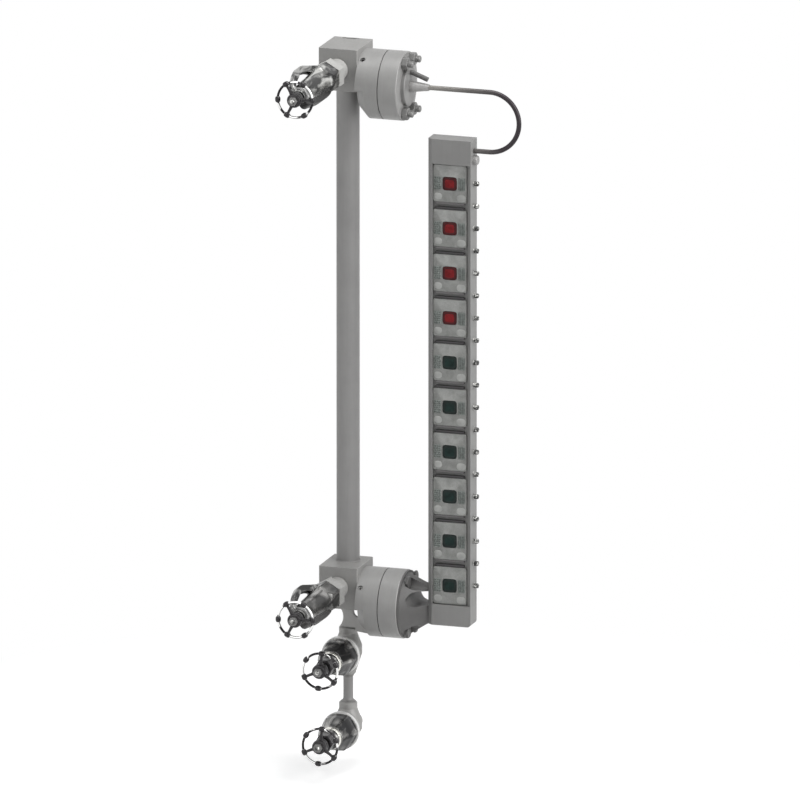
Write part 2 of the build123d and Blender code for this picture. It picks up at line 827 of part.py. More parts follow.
def brace_plate():
    """Plate with a round hole, grooved over the drop pipe and welded to the block and the base ring."""
    hub_top = first_drain_height + drain_hub_half_height
    foot = hub_top + loose_clearance
    far_side = block_face + bevel_size
    ring_axis = Axis((0, -ring_from_back, ring_heights["lower"]), (1, 0, 0))
    with BuildPart() as plate:
        with BuildSketch(front_plane(brace_from_back + brace_thickness / 2, 0)):
            with BuildLine():
                ThreePointArc((brace_flare_side, block_bottom), (brace_waist_side, brace_waist_height),
                              (brace_foot_side, foot))
                Polyline((brace_foot_side, foot), (drain_hub_radius + loose_clearance, foot),
                         (drain_hub_radius + loose_clearance, brace_bottom),
                         (far_side - bevel_size / 4, brace_toe_bottom), (far_side, block_bottom),
                         (brace_flare_side, block_bottom))
            make_face()
            with Locations((brace_hole_side, brace_hole_height)):
                Circle(brace_hole_radius, mode=Mode.SUBTRACT)
        extrude(amount=-brace_thickness)
        with BuildSketch(Plane.XY.offset(block_bottom)):
            with Locations((0, -column_from_back)):
                Circle(drop_pipe_radius + fit_clearance)
        extrude(amount=hub_top - block_bottom, mode=Mode.SUBTRACT)
        with BuildSketch(Plane.XY.offset(ring_heights["lower"])):
            with BuildLine():
                Polyline((block_face, -ring_from_back),
                         (block_face, -ring_from_back - ring_radius + bevel_size),
                         (block_face + bevel_size, -ring_from_back - ring_radius),
                         (block_face + base_ring_length, -ring_from_back - ring_radius),
                         (block_face + base_ring_length, -ring_from_back), close=True)
            make_face()
        revolve(axis=ring_axis, mode=Mode.SUBTRACT)
    save(plate, "brace_plate")


def isolation_neck(label, level):
    """Light round neck with a hexagon collar, welded to the block's front face."""
    height = axis_heights[level]
    with BuildPart() as neck:
        with BuildSketch(front_plane(block_depth, height)):
            Circle(neck_radius)
        extrude(amount=neck_length)
        fillet(neck.faces().sort_by(Axis.Y)[-1].edges(), radius=neck_round)
        with BuildSketch(front_plane(block_depth + neck_length, height)):
            RegularPolygon(collar_flats / 2, 6, major_radius=False, rotation=30)
        extrude(amount=collar_length)
        with Locations(front_plane(block_depth + neck_length + collar_length, height)):
            Hole(chamber_radius)
    save(neck, label)


def yoke_plane(forward, height, angle):
    """Plane through a stem axis and a yoke arm: local x runs forward, local y is the arm's radius."""
    side, rise = polar_point(1, angle)
    return Plane(origin=(0, -forward, height), x_dir=(0, -1, 0), z_dir=(-rise, 0, side))


def yoke_outlines():
    """Side outlines of the high, bowed yoke arm and the low, flat one."""
    root = iso_bonnet_flats / 2
    inside = gland_corner_radius + yoke_nut_gap
    outside = inside + yoke_end_width
    lug = crosshead_radius - yoke_end_width
    nose_root = iso_bonnet_nose_radius - yoke_nut_gap
    crosshead_end = [(crosshead_front, outside), (crosshead_front, lug), (crosshead_back, lug),
                     (crosshead_back, inside)]
    high = [(yoke_foot_reach, root - yoke_foot_reach), (yoke_foot_reach, root),
            (yoke_knee_reach, yoke_knee_radius), (yoke_shoulder_reach, yoke_shoulder_radius),
            *crosshead_end,
            (yoke_shoulder_reach, yoke_shoulder_radius - yoke_width),
            (yoke_knee_reach, yoke_knee_radius - yoke_width),
            (iso_bonnet_hex_length, root - yoke_foot_reach)]
    low = [(iso_bonnet_hex_length - yoke_foot_reach, nose_root),
           (iso_bonnet_hex_length - yoke_foot_reach, root), (low_arm_reach, low_arm_radius),
           *crosshead_end,
           (iso_bonnet_length - yoke_foot_reach, inside), (iso_bonnet_length - yoke_foot_reach, nose_root)]
    return {"high": high, "low": low}


def isolation_bonnet(label, level):
    """Hexagon bonnet with a turned nose, a packing chamber and a yoke that holds the crosshead."""
    height = axis_heights[level]
    start = block_depth + neck_length + collar_length
    stem_hole = stem_radius + running_clearance
    corner = iso_bonnet_flats / 2 / cos(radians(30))
    with BuildPart() as bonnet:
        turned([(-iso_spigot_length, 0), (-iso_spigot_length, chamber_radius - fit_clearance),
                (0, chamber_radius - fit_clearance), (0, corner - 2), (2, corner),
                (iso_bonnet_hex_length - 3, corner),
                (iso_bonnet_hex_length + 4, iso_bonnet_nose_radius),
                (iso_bonnet_length, iso_bonnet_nose_radius), (iso_bonnet_length, 0)],
               stem_section(start, height))
        with BuildSketch(front_plane(start - iso_spigot_length, height)):
            RegularPolygon(iso_bonnet_flats / 2, 6, major_radius=False, rotation=30)
        extrude(amount=iso_bonnet_length + iso_spigot_length, mode=Mode.INTERSECT)
        with Locations(front_plane(start + iso_bonnet_length, height)):
            Hole(packing_bore_radius, depth=iso_packing_depth)
        for arm, outline in yoke_outlines().items():
            with BuildSketch(yoke_plane(start, height, yoke_angles[arm])):
                with BuildLine():
                    Polyline(*outline, close=True)
                make_face()
            extrude(amount=yoke_thickness / 2, both=True)
        with BuildSketch(front_plane(start + crosshead_back, height)):
            Circle(crosshead_radius)
        extrude(amount=crosshead_length)
        with Locations(front_plane(start + crosshead_front, height)):
            Hole(stem_hole)
    save(bonnet, label)


def gland_nuts(label, ends, chamber_depth, packing_length, nut_length):
    """Gland nuts: a nose that presses the packing, and a hexagon in front of the bonnet."""
    with BuildPart() as nuts:
        for forward, height in ends:
            nose = chamber_depth - packing_length
            with BuildSketch(front_plane(forward - nose, height)):
                Circle(packing_bore_radius - fit_clearance)
            extrude(amount=nose)
            with BuildSketch(front_plane(forward, height)):
                RegularPolygon(gland_flats / 2, 6, major_radius=False)
            extrude(amount=nut_length)
            with Locations(front_plane(forward + nut_length, height)):
                Hole(stem_radius + running_clearance, depth=nose + nut_length)
    save(nuts, label)


def stem_packings(places):
    """Packing sleeves round the four stems."""
    with BuildPart() as packings:
        for forward, height, length in places:
            with BuildSketch(front_plane(forward, height)):
                Circle(packing_bore_radius - fit_clearance)
                Circle(stem_radius + running_clearance, mode=Mode.SUBTRACT)
            extrude(amount=length)
    save(packings, "stem_packings")


def plug_tip(seat_forward, seat_radius, lift):
    """Forward distance of a plug's tip when its cone is a given lift off the seat."""
    return seat_forward - cone_lead + seat_gap + lift


def valve_plug(label, tip, height, seat_radius):
    """Swivelling plug: a cone that closes the seat and a blind hole for the stem's pin."""
    cone_length = plug_radius - seat_radius + cone_lead
    with BuildPart() as plug:
        turned([(0, 0), (0, seat_radius - cone_lead), (cone_length, plug_radius),
                (plug_length, plug_radius), (plug_length, 0)], stem_section(tip, height))
        with Locations(front_plane(tip + plug_length, height)):
            Hole(plug_pin_radius + running_clearance, depth=plug_pin_length + pin_end_gap)
    save(plug, label)


def valve_stem(label, tip, hub_forward, height):
    """Stem: pin in the plug, shank through the packing, hub seat and threaded end."""
    start = tip + plug_length - plug_pin_length
    shoulder = tip + plug_length + pin_shoulder_gap
    hub_front = hub_forward + hub_length
    end = hub_front + wheel_nut_height + stem_end_length
    section = stem_section(start, height)
    profile = [(0, 0), (0, plug_pin_radius), (shoulder - start, plug_pin_radius),
               (shoulder - start, stem_radius), (hub_forward - start, stem_radius),
               (hub_forward - start, hub_seat_radius), (hub_front - start, hub_seat_radius),
               (hub_front - start, nut_thread_radius), (end - start - 1, nut_thread_radius),
               (end - start, nut_thread_radius - 1), (end - start, 0)]
    with BuildPart() as stem:
        turned(profile, section)
    save(stem, label)


def handwheel(label, hub_forward, height, first_spoke_angle):
    """Round-wire handwheel with three spokes and six nodes."""
    middle = hub_forward + hub_length / 2
    wheel_plane = front_plane(middle, height)
    with BuildPart() as wheel:
        with BuildSketch(stem_section(middle, height)):
            with Locations((0, wheel_rim_radius)):
                Circle(wheel_wire_radius)
        revolve(axis=Axis((0, -middle, height), (0, -1, 0)))
        with BuildSketch(front_plane(hub_forward, height)):
            Circle(hub_radius)
        extrude(amount=hub_length)
        chamfer(wheel.faces().filter_by(Axis.Y).edges(), length=1.5)
        with BuildSketch(front_plane(middle - wheel_node_length / 2, height)):
            with Locations(*[polar_point(wheel_rim_radius, first_spoke_angle + index * 360 / wheel_node_count)
                             for index in range(wheel_node_count)]):
                Circle(wheel_node_radius)
        extrude(amount=wheel_node_length)
        for index in range(spoke_count):
            angle = first_spoke_angle + index * 360 / spoke_count
            side, rise = polar_point(1, angle)
            with BuildSketch(Plane(origin=wheel_plane.origin, x_dir=(0, -1, 0), z_dir=(side, 0, rise))):
                Circle(spoke_radius)
            extrude(amount=wheel_rim_radius)
        with Locations(front_plane(hub_forward + hub_length, height)):
            Hole(hub_seat_radius + fit_clearance)
    save(wheel, label)


def wheel_nut(label, hub_forward, height):
    """Nut that holds the handwheel on its stem."""
    with BuildPart() as nut:
        with BuildSketch(front_plane(hub_forward + hub_length, height)):
            RegularPolygon(wheel_nut_flats / 2, 6, major_radius=False)
            Circle(nut_thread_radius + fit_clearance, mode=Mode.SUBTRACT)
        extrude(amount=wheel_nut_height)
    save(nut, label)


def drain_body(label, height, has_lower_hub):
    """Drain valve body: inlet hub above, branch for the bonnet, and an outlet below or behind."""
    axis_forward = column_from_back
    barrel_section = Plane(origin=(0, -axis_forward, height), x_dir=(0, 0, 1), z_dir=(1, 0, 0))
    foot = -drain_hub_half_height if has_lower_hub else -drain_waist_height
    with BuildPart() as body:
        turned([(foot, 0), (foot, drain_foot_radius - drain_hub_chamfer),
                (foot + drain_hub_chamfer, drain_foot_radius),
                (foot + 2 * drain_hub_chamfer, drain_foot_radius), (-drain_hip_depth, drain_barrel_radius),
                (drain_shoulder_height, drain_barrel_radius), (drain_waist_height, drain_hub_radius),
                (drain_hub_half_height - drain_hub_chamfer, drain_hub_radius),
                (drain_hub_half_height, drain_hub_radius - drain_hub_chamfer),
                (drain_hub_half_height, 0)], barrel_section)
        with BuildSketch(front_plane(axis_forward, height)):
            Circle(branch_root_radius)
        with BuildSketch(front_plane(axis_forward + branch_reach, height)):
            Circle(branch_face_radius)
        loft()
        if not has_lower_hub:
            with BuildSketch(back_plane(0, height)):
                Circle(drain_hub_radius)
            extrude(amount=-axis_forward)
        with Locations(front_plane(axis_forward + branch_reach, height)):
            Hole(chamber_radius, depth=branch_reach - drain_seat_reach)
        with Locations(Plane(origin=(0, -axis_forward, height + drain_hub_half_height), z_dir=(0, 0, 1))):
            Hole(drop_pipe_radius + fit_clearance, depth=pipe_socket_depth)
        inlet = Plane(origin=(0, -axis_forward, height + drain_hub_half_height - pipe_socket_depth),
                      x_dir=(1, 0, 0), z_dir=(0, -sin(radians(inlet_slope)), -cos(radians(inlet_slope))))
        with BuildSketch(inlet):
            Circle(drop_pipe_bore_radius)
        reach = (drain_hub_half_height - pipe_socket_depth) / cos(radians(inlet_slope))
        extrude(amount=reach - inlet_stops_short, mode=Mode.SUBTRACT)
        if has_lower_hub:
            with Locations(front_plane(axis_forward + drain_seat_reach, height)):
                Hole(drain_seat_radius, depth=drain_seat_reach + drain_seat_radius)
            with Locations(Plane(origin=(0, -axis_forward, height - drain_hub_half_height),
                                 z_dir=(0, 0, -1))):
                CounterBoreHole(drop_pipe_bore_radius, drop_pipe_radius + fit_clearance,
                                pipe_socket_depth, drain_hub_half_height)
        else:
            with Locations(back_plane(0, height)):
                CounterBoreHole(drain_seat_radius, drop_pipe_radius + fit_clearance,
                                outlet_socket_depth, axis_forward + drain_seat_reach)
    save(body, label)


def drain_rings():
    """Bright rings between the drain bodies and their bonnets."""
    with BuildPart() as rings:
        for height in drain_heights.values():
            with BuildSketch(front_plane(column_from_back + branch_reach, height)):
                Circle(drain_ring_radius)
                Circle(chamber_radius, mode=Mode.SUBTRACT)
            extrude(amount=drain_ring_length)
    save(rings, "drain_rings")


def drain_bonnet(label, height):
    """Domed bonnet with six flats and a packing chamber."""
    start = column_from_back + branch_reach + drain_ring_length
    corner = drain_bonnet_flats / 2 / cos(radians(30))
    spigot = drain_ring_length + drain_spigot_grip
    with BuildPart() as bonnet:
        turned([(-spigot, 0), (-spigot, chamber_radius - fit_clearance), (0, chamber_radius - fit_clearance),
                (0, corner - 3), (2, corner - 1), (drain_bonnet_hex_length, corner - 1),
                (drain_bonnet_slope_reach, drain_bonnet_slope_radius),
                (drain_bonnet_length - 2, drain_bonnet_nose_radius),
                (drain_bonnet_length, drain_bonnet_nose_radius - 2), (drain_bonnet_length, 0)],
               stem_section(start, height))
        with BuildSketch(front_plane(start - spigot, height)):
            RegularPolygon(drain_bonnet_flats / 2, 6, major_radius=False)
        extrude(amount=drain_bonnet_length + spigot, mode=Mode.INTERSECT)
        with Locations(front_plane(start + drain_bonnet_length, height)):
            Hole(packing_bore_radius, depth=drain_packing_depth)
        with Locations(front_plane(start + drain_bonnet_length, height)):
            Hole(stem_radius + running_clearance)
    save(bonnet, label)


# Blocks, column and connectors
block("upper_block", "upper", column_above=False)
block("lower_block", "lower", column_above=True)
slot_plug()
column_pipe()
for level, screw_angle in zip(("upper", "lower"), set_screw_angles):
    base_ring(f"{level}_base_ring", level, screw_angle)
    cap_ring(f"{level}_cap_ring", level)
ring_set_screws()
ring_gaskets()
ring_bolts()
end_disc()
tube_nut()
tube_stay()
expansion_tube()
lower_end_cover()

# Gauge body
gauge_body()
front_frame()
cell_panes()
lenses("green_lenses", cell_heights[:-red_cell_count])
lenses("red_lenses", cell_heights[-red_cell_count:])
side_pads()
separator_bars()
port_glasses()
lamp_board()
back_cover()
cover_screws()
side_screws()
side_plug()

# Drain line
drop_pipes()
brace_plate()
drain_rings()

# Isolation valves, open as stored
iso_end = block_depth + neck_length + collar_length + iso_bonnet_length
for level, axis_height in axis_heights.items():
    tip = plug_tip(seat_from_back, process_bore_radius, stem_lift)
    hub = block_depth + iso_hub_reach
    isolation_neck(f"{level}_valve_neck", level)
    isolation_bonnet(f"{level}_valve_bonnet", level)
    valve_plug(f"{level}_valve_plug", tip, axis_height, process_bore_radius)
    valve_stem(f"{level}_valve_stem", tip, hub, axis_height)
    handwheel(f"{level}_handwheel", hub, axis_height, iso_spoke_angle)
    wheel_nut(f"{level}_wheel_nut", hub, axis_height)
gland_nuts("isolation_gland_nuts", [(iso_end, axis_height) for axis_height in axis_heights.values()],
           iso_packing_depth, iso_packing_length, iso_gland_length)

# Drain valves, closed as stored
drain_end = column_from_back + branch_reach + drain_ring_length + drain_bonnet_length
for order, axis_height in drain_heights.items():
    tip = plug_tip(column_from_back + drain_seat_reach, drain_seat_radius, 0)
    hub = column_from_back + drain_hub_reach
    drain_body(f"{order}_drain_body", axis_height, has_lower_hub=order == "first")
    drain_bonnet(f"{order}_drain_bonnet", axis_height)
    valve_plug(f"{order}_drain_plug", tip, axis_height, drain_seat_radius)
    valve_stem(f"{order}_drain_stem", tip, hub, axis_height)
    handwheel(f"{order}_drain_handwheel", hub, axis_height, drain_spoke_angle)
    wheel_nut(f"{order}_drain_wheel_nut", hub, axis_height)
gland_nuts("drain_gland_nuts", [(drain_end, axis_height) for axis_height in drain_heights.values()],
           drain_packing_depth, drain_packing_length, drain_gland_length)

stem_packings([(iso_end - iso_packing_depth, axis_height, iso_packing_length)
               for axis_height in axis_heights.values()]
              + [(drain_end - drain_packing_depth, axis_height, drain_packing_length)
                 for axis_height in drain_heights.values()])
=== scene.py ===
import math

import bmesh
import bpy
from mathutils import Matrix, Vector


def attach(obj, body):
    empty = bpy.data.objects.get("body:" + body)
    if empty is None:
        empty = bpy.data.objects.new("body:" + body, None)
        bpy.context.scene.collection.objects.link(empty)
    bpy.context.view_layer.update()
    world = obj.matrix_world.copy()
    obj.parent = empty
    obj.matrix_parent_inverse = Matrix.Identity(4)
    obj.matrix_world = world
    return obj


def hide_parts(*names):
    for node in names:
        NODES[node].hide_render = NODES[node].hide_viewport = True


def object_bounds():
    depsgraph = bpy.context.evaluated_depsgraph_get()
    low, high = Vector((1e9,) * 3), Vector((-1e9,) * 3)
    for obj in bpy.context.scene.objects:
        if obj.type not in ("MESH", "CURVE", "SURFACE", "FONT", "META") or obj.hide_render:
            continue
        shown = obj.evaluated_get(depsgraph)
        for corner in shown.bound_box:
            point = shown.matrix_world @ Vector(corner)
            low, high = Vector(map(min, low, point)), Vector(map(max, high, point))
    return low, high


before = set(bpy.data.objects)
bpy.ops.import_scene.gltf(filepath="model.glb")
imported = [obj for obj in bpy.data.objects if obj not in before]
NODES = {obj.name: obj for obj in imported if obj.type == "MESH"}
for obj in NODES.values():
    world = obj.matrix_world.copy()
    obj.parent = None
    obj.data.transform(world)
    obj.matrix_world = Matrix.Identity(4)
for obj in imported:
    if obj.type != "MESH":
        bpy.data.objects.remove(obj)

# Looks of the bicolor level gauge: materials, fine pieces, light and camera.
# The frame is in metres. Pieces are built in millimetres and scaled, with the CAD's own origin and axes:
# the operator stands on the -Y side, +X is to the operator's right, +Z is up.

cad_low, cad_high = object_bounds()
ROOT = "gauge"
MM = 0.001

# Places and sizes in millimetres, most of them the CAD's own
AXIS_HEIGHTS = {"lower": 0.0, "upper": 870.0}
DRAIN_HEIGHTS = {"first": -118.0, "second": -245.0}
BLOCK_FRONT = -83.0
BLOCK_TOP = 33.5
BLOCK_BOTTOM = -36.5
LINE_Y = -30.0
COLUMN_RADIUS = 19.0
DROP_PIPE_RADIUS = 8.0
DRAIN_HUB_HALF_HEIGHT = 40.0
RING_AXIS_Y = -41.5
RING_HEIGHTS = {"lower": -30.0, "upper": 840.0}
RING_RADIUS = 57.0
RIM_FACE = 104.0
BOLT_END = 56.0
BOLT_CIRCLE = 46.0
BOLT_ANGLES = (65, 115, -65, -115)
BOLT_FLATS = 19.0
NUT_HEIGHT = 10.0
LOW_HEAD_HEIGHT = 4.5
SPOT_FACE_DEPTH = 7.0
SET_SCREW_ANGLES = {"upper": 125, "lower": 145}
SET_SCREW_X = 39.5
CELL_PITCH = 75.0
CELL_HEIGHTS = [10.0 + CELL_PITCH * index for index in range(10)]
RED_CELLS = 4
PANE_THICKNESS = 4.5
PANE_HALF_SIZE = (28.9, 31.5)
PANE_OPENING = (12.2, 11.2)
LENS_HALF_SIZE = (12.0, 11.0)
PAD_HALF_SIZE = (6.0, 11.0)
PAD_FROM_MIDDLE = 20.6
BAR_LENGTH = 50.0
BAR_HALF_HEIGHT = 2.1
BODY_RIGHT = 219.0
BODY_MIDDLE = 182.0
PRESSURE_FRONT = -50.5
SIDE_SCREWS = 19
COVER_BACK = -24.5
COVER_SCREW_SIDES = (150.0, 214.0)
COVER_SCREW_HEIGHTS = [CELL_HEIGHTS[index] + CELL_PITCH / 4 for index in (0, 5, 9)]

# Places along the valve stems and sizes round them, in millimetres
ISOLATION_COLLAR_FRONT = BLOCK_FRONT - 62.0
ISOLATION_BONNET_LENGTH = 127.0
ISOLATION_BONNET_FLATS = 45.0
ISOLATION_PACKING_FLOOR = 98.0
CROSSHEAD_BACK = 138.0
CROSSHEAD_FRONT = 146.0
CROSSHEAD_RADIUS = 12.0
HIGH_ARM_ANGLE = 128.0
LOW_ARM_ANGLE = -52.0
DRAIN_RING_FRONT = -74.0
DRAIN_BONNET_LENGTH = 62.0
DRAIN_PACKING_FLOOR = 44.0
GLAND_FLATS = 27.0
GLAND_GAP = 1.6
SPIGOT_RADIUS = 9.9
PACKING_RADIUS = 10.6
STEM_HOLE = 6.1
WHEEL_MIDDLES = {"isolation": -306.0, "drain": -178.0}
WHEEL_RADIUS = 29.5
WHEEL_WIRE = 2.0
HUB_HALF_LENGTH = 9.0
HUB_HOLE = 5.1
BEADS = 6
FIRST_BEAD_ANGLES = {"isolation": 122.0, "drain": 84.0}
WHEEL_NUT_FLATS = 13.0
WHEEL_NUT_HEIGHT = 6.5
WHEEL_NUT_HOLE = 4.1

X_AXIS = Vector((1, 0, 0))
FRONT = Vector((0, -1, 0))
Z_AXIS = Vector((0, 0, 1))


# Materials

def new_material(name):
    """A node material with its Principled shader."""
    material = bpy.data.materials.new(name)
    material.use_nodes = True
    tree = material.node_tree
    return material, tree, tree.nodes["Principled BSDF"]


def link(tree, source, target):
    """Join two sockets."""
    tree.links.new(source, target)


def noise_node(tree, vector, scale, detail=4.0, roughness=0.55, distortion=0.0):
    """The grey value of a noise texture."""
    node = tree.nodes.new("ShaderNodeTexNoise")
    node.inputs["Scale"].default_value = scale
    node.inputs["Detail"].default_value = detail
    node.inputs["Roughness"].default_value = roughness
    node.inputs["Distortion"].default_value = distortion
    link(tree, vector, node.inputs["Vector"])
    return node.outputs["Fac"]


def stretched(tree, stretch):
    """Object coordinates scaled along each axis, so that a grain runs one way."""
    coordinates = tree.nodes.new("ShaderNodeTexCoord")
    mapping = tree.nodes.new("ShaderNodeMapping")
    mapping.inputs["Scale"].default_value = stretch
    link(tree, coordinates.outputs["Object"], mapping.inputs["Vector"])
    return mapping.outputs["Vector"]


def ramp_node(tree, factor, stops):
    """A colour ramp with (position, colour) stops."""
    node = tree.nodes.new("ShaderNodeValToRGB")
    ramp = node.color_ramp
    while len(ramp.elements) < len(stops):
        ramp.elements.new(0.5)
    for element, (position, colour) in zip(ramp.elements, stops):
        element.position = position
        element.color = (*colour, 1.0)
    link(tree, factor, node.inputs["Fac"])
    return node.outputs["Color"]


def map_range(tree, value, low, high, to_low, to_high):
    """A value moved from one range to another."""
    node = tree.nodes.new("ShaderNodeMapRange")
    for name, number in (("From Min", low), ("From Max", high), ("To Min", to_low), ("To Max", to_high)):
        node.inputs[name].default_value = number
    link(tree, value, node.inputs["Value"])
    return node.outputs["Result"]


def mix_colour(tree, factor, first, second):
    """Mix two colours, each a socket or an RGB triple, by a factor socket."""
    node = tree.nodes.new("ShaderNodeMix")
    node.data_type = "RGBA"
    link(tree, factor, node.inputs[0])
    for index, value in ((6, first), (7, second)):
        if hasattr(value, "is_linked"):
            link(tree, value, node.inputs[index])
        else:
            node.inputs[index].default_value = (*value, 1.0)
    return node.outputs[2]


def shade(colour, amount):
    """A colour made darker or lighter."""
    return tuple(min(1.0, channel * amount) for channel in colour)


def bump_from(tree, shader, height, strength, distance, normal=None):
    """Fine relief on a shader, over an optional rounded normal."""
    bump = tree.nodes.new("ShaderNodeBump")
    bump.inputs["Strength"].default_value = strength
    bump.inputs["Distance"].default_value = distance
    link(tree, height, bump.inputs["Height"])
    if normal is not None:
        link(tree, normal, bump.inputs["Normal"])
    link(tree, bump.outputs["Normal"], shader.inputs["Normal"])


def worn_and_highlit_edges(tree, colour, edge_wear_and_highlight, radius):
    """Rounded edge normal, and the colour brightened along those edges: partly wear, partly a painted
    highlight.
    """
    bevel = tree.nodes.new("ShaderNodeBevel")
    bevel.samples = 4
    bevel.inputs["Radius"].default_value = radius
    geometry = tree.nodes.new("ShaderNodeNewGeometry")
    edge = tree.nodes.new("ShaderNodeVectorMath")
    edge.operation = "DOT_PRODUCT"
    link(tree, bevel.outputs["Normal"], edge.inputs[0])
    link(tree, geometry.outputs["Normal"], edge.inputs[1])
    level = map_range(tree, edge.outputs["Value"], 0.985, 0.90, 0.0, 0.6)
    return mix_colour(tree, level, colour, edge_wear_and_highlight), bevel.outputs["Normal"]


def metal(name, colour, metallic=0.3, roughness=0.45, stretch=(1, 1, 1), grain=900.0, grain_depth=0.08,
          stain=0.12, edge_wear_and_highlight=1.35, edge_radius=0.0006, coat=0.0, heat_tint=None):
    """Machined or painted metal: fine grain, faint stains, and rounded edges brightened partly as wear and
    partly as a painted highlight.

    A heat tint (start, end, colour) darkens it along X."""
    material, tree, shader = new_material(name)
    place = stretched(tree, (1, 1, 1))
    grained = stretched(tree, stretch)
    stains = noise_node(tree, place, 22.0, 6.0, 0.6)
    streaks = noise_node(tree, grained, grain * 0.35, 3.0, 0.6)
    fine = noise_node(tree, grained, grain, 3.0, 0.65)
    base = ramp_node(tree, stains, [(0.3, shade(colour, 1.0 - stain)), (0.55, colour),
                                    (0.8, shade(colour, 1.0 + stain * 0.6))])
    streaked = mix_colour(tree, map_range(tree, streaks, 0.3, 0.7, 0.0, stain * 1.6), base,
                          shade(colour, 0.72))
    if heat_tint:
        start, end, tinted = heat_tint
        axes = tree.nodes.new("ShaderNodeSeparateXYZ")
        link(tree, place, axes.inputs["Vector"])
        share = map_range(tree, axes.outputs["X"], start, end, 0.0, 1.0)
        streaked = mix_colour(tree, share, streaked, tinted)
    # Edges brightened: wear and a painted highlight
    coloured, rounded = worn_and_highlit_edges(tree, streaked, shade(colour, edge_wear_and_highlight), edge_radius)
    link(tree, coloured, shader.inputs["Base Color"])
    link(tree, map_range(tree, streaks, 0.25, 0.75, roughness - 0.06, roughness + 0.08),
         shader.inputs["Roughness"])
    shader.inputs["Metallic"].default_value = metallic
    shader.inputs["Coat Weight"].default_value = coat
    bump_from(tree, shader, fine, grain_depth, 0.0004, rounded)
    return material


def polished_with_painted_reflections(name, dark, light, roughness=0.16, stretch=(1, 1, 1), patch=45.0, low=0.46, high=0.60,
             edge_radius=0.0007):
    """Polished casting with painted light: dark metal broken by bright painted reflections, painted
    highlights along the edges and painted shade on faces that look down.
    """
    material, tree, shader = new_material(name)
    place = stretched(tree, stretch)
    # Noise that paints bright reflections over the dark metal
    reflection_patches = noise_node(tree, place, patch, 3.0, 0.5, 0.8)
    fine = noise_node(tree, place, 700.0, 3.0, 0.6)
    middle = tuple((first + second) / 2.6 for first, second in zip(dark, light))
    base = ramp_node(tree, reflection_patches, [(low, dark), ((low + high) / 2, middle), (high, light)])
    # Painted shade on faces that look down, taken from the world normal
    geometry = tree.nodes.new("ShaderNodeNewGeometry")
    facing = tree.nodes.new("ShaderNodeSeparateXYZ")
    link(tree, geometry.outputs["Normal"], facing.inputs["Vector"])
    painted_underside_shade = map_range(tree, facing.outputs["Z"], -0.15, -0.55, 0.0, 0.92)
    shaded = mix_colour(tree, painted_underside_shade, base, shade(dark, 0.8))
    # Painted highlight along the edges
    coloured, rounded = worn_and_highlit_edges(tree, shaded, shade(light, 1.15), edge_radius)
    link(tree, coloured, shader.inputs["Base Color"])
    link(tree, map_range(tree, reflection_patches, low, high, roughness + 0.08, roughness), shader.inputs["Roughness"])
    shader.inputs["Metallic"].default_value = 1.0
    bump_from(tree, shader, fine, 0.05, 0.0003, rounded)
    return material


def moulded(name, colour, roughness, coat=0.0, transmission=0.0, glow=0.0, speckle=0.1, grain_depth=0.05,
            cloud=60.0, specular=0.5):
    """Plastic or glass: soft clouding, a fine surface, and light from inside where it glows."""
    material, tree, shader = new_material(name)
    place = stretched(tree, (1, 1, 1))
    clouds = noise_node(tree, place, cloud, 5.0, 0.6, 0.4)
    fine = noise_node(tree, place, 1500.0, 2.0, 0.5)
    base = ramp_node(tree, clouds, [(0.32, shade(colour, 1.0 - speckle)), (0.5, colour),
                                    (0.68, shade(colour, 1.0 + speckle))])
    link(tree, base, shader.inputs["Base Color"])
    link(tree, map_range(tree, fine, 0.3, 0.7, max(0.02, roughness - 0.04), roughness + 0.05),
         shader.inputs["Roughness"])
    bump_from(tree, shader, fine, grain_depth, 0.0002)
    shader.inputs["Coat Weight"].default_value = coat
    shader.inputs["Transmission Weight"].default_value = transmission
    shader.inputs["Specular IOR Level"].default_value = specular
    if glow:
        link(tree, base, shader.inputs["Emission Color"])
        shader.inputs["Emission Strength"].default_value = glow
    return material


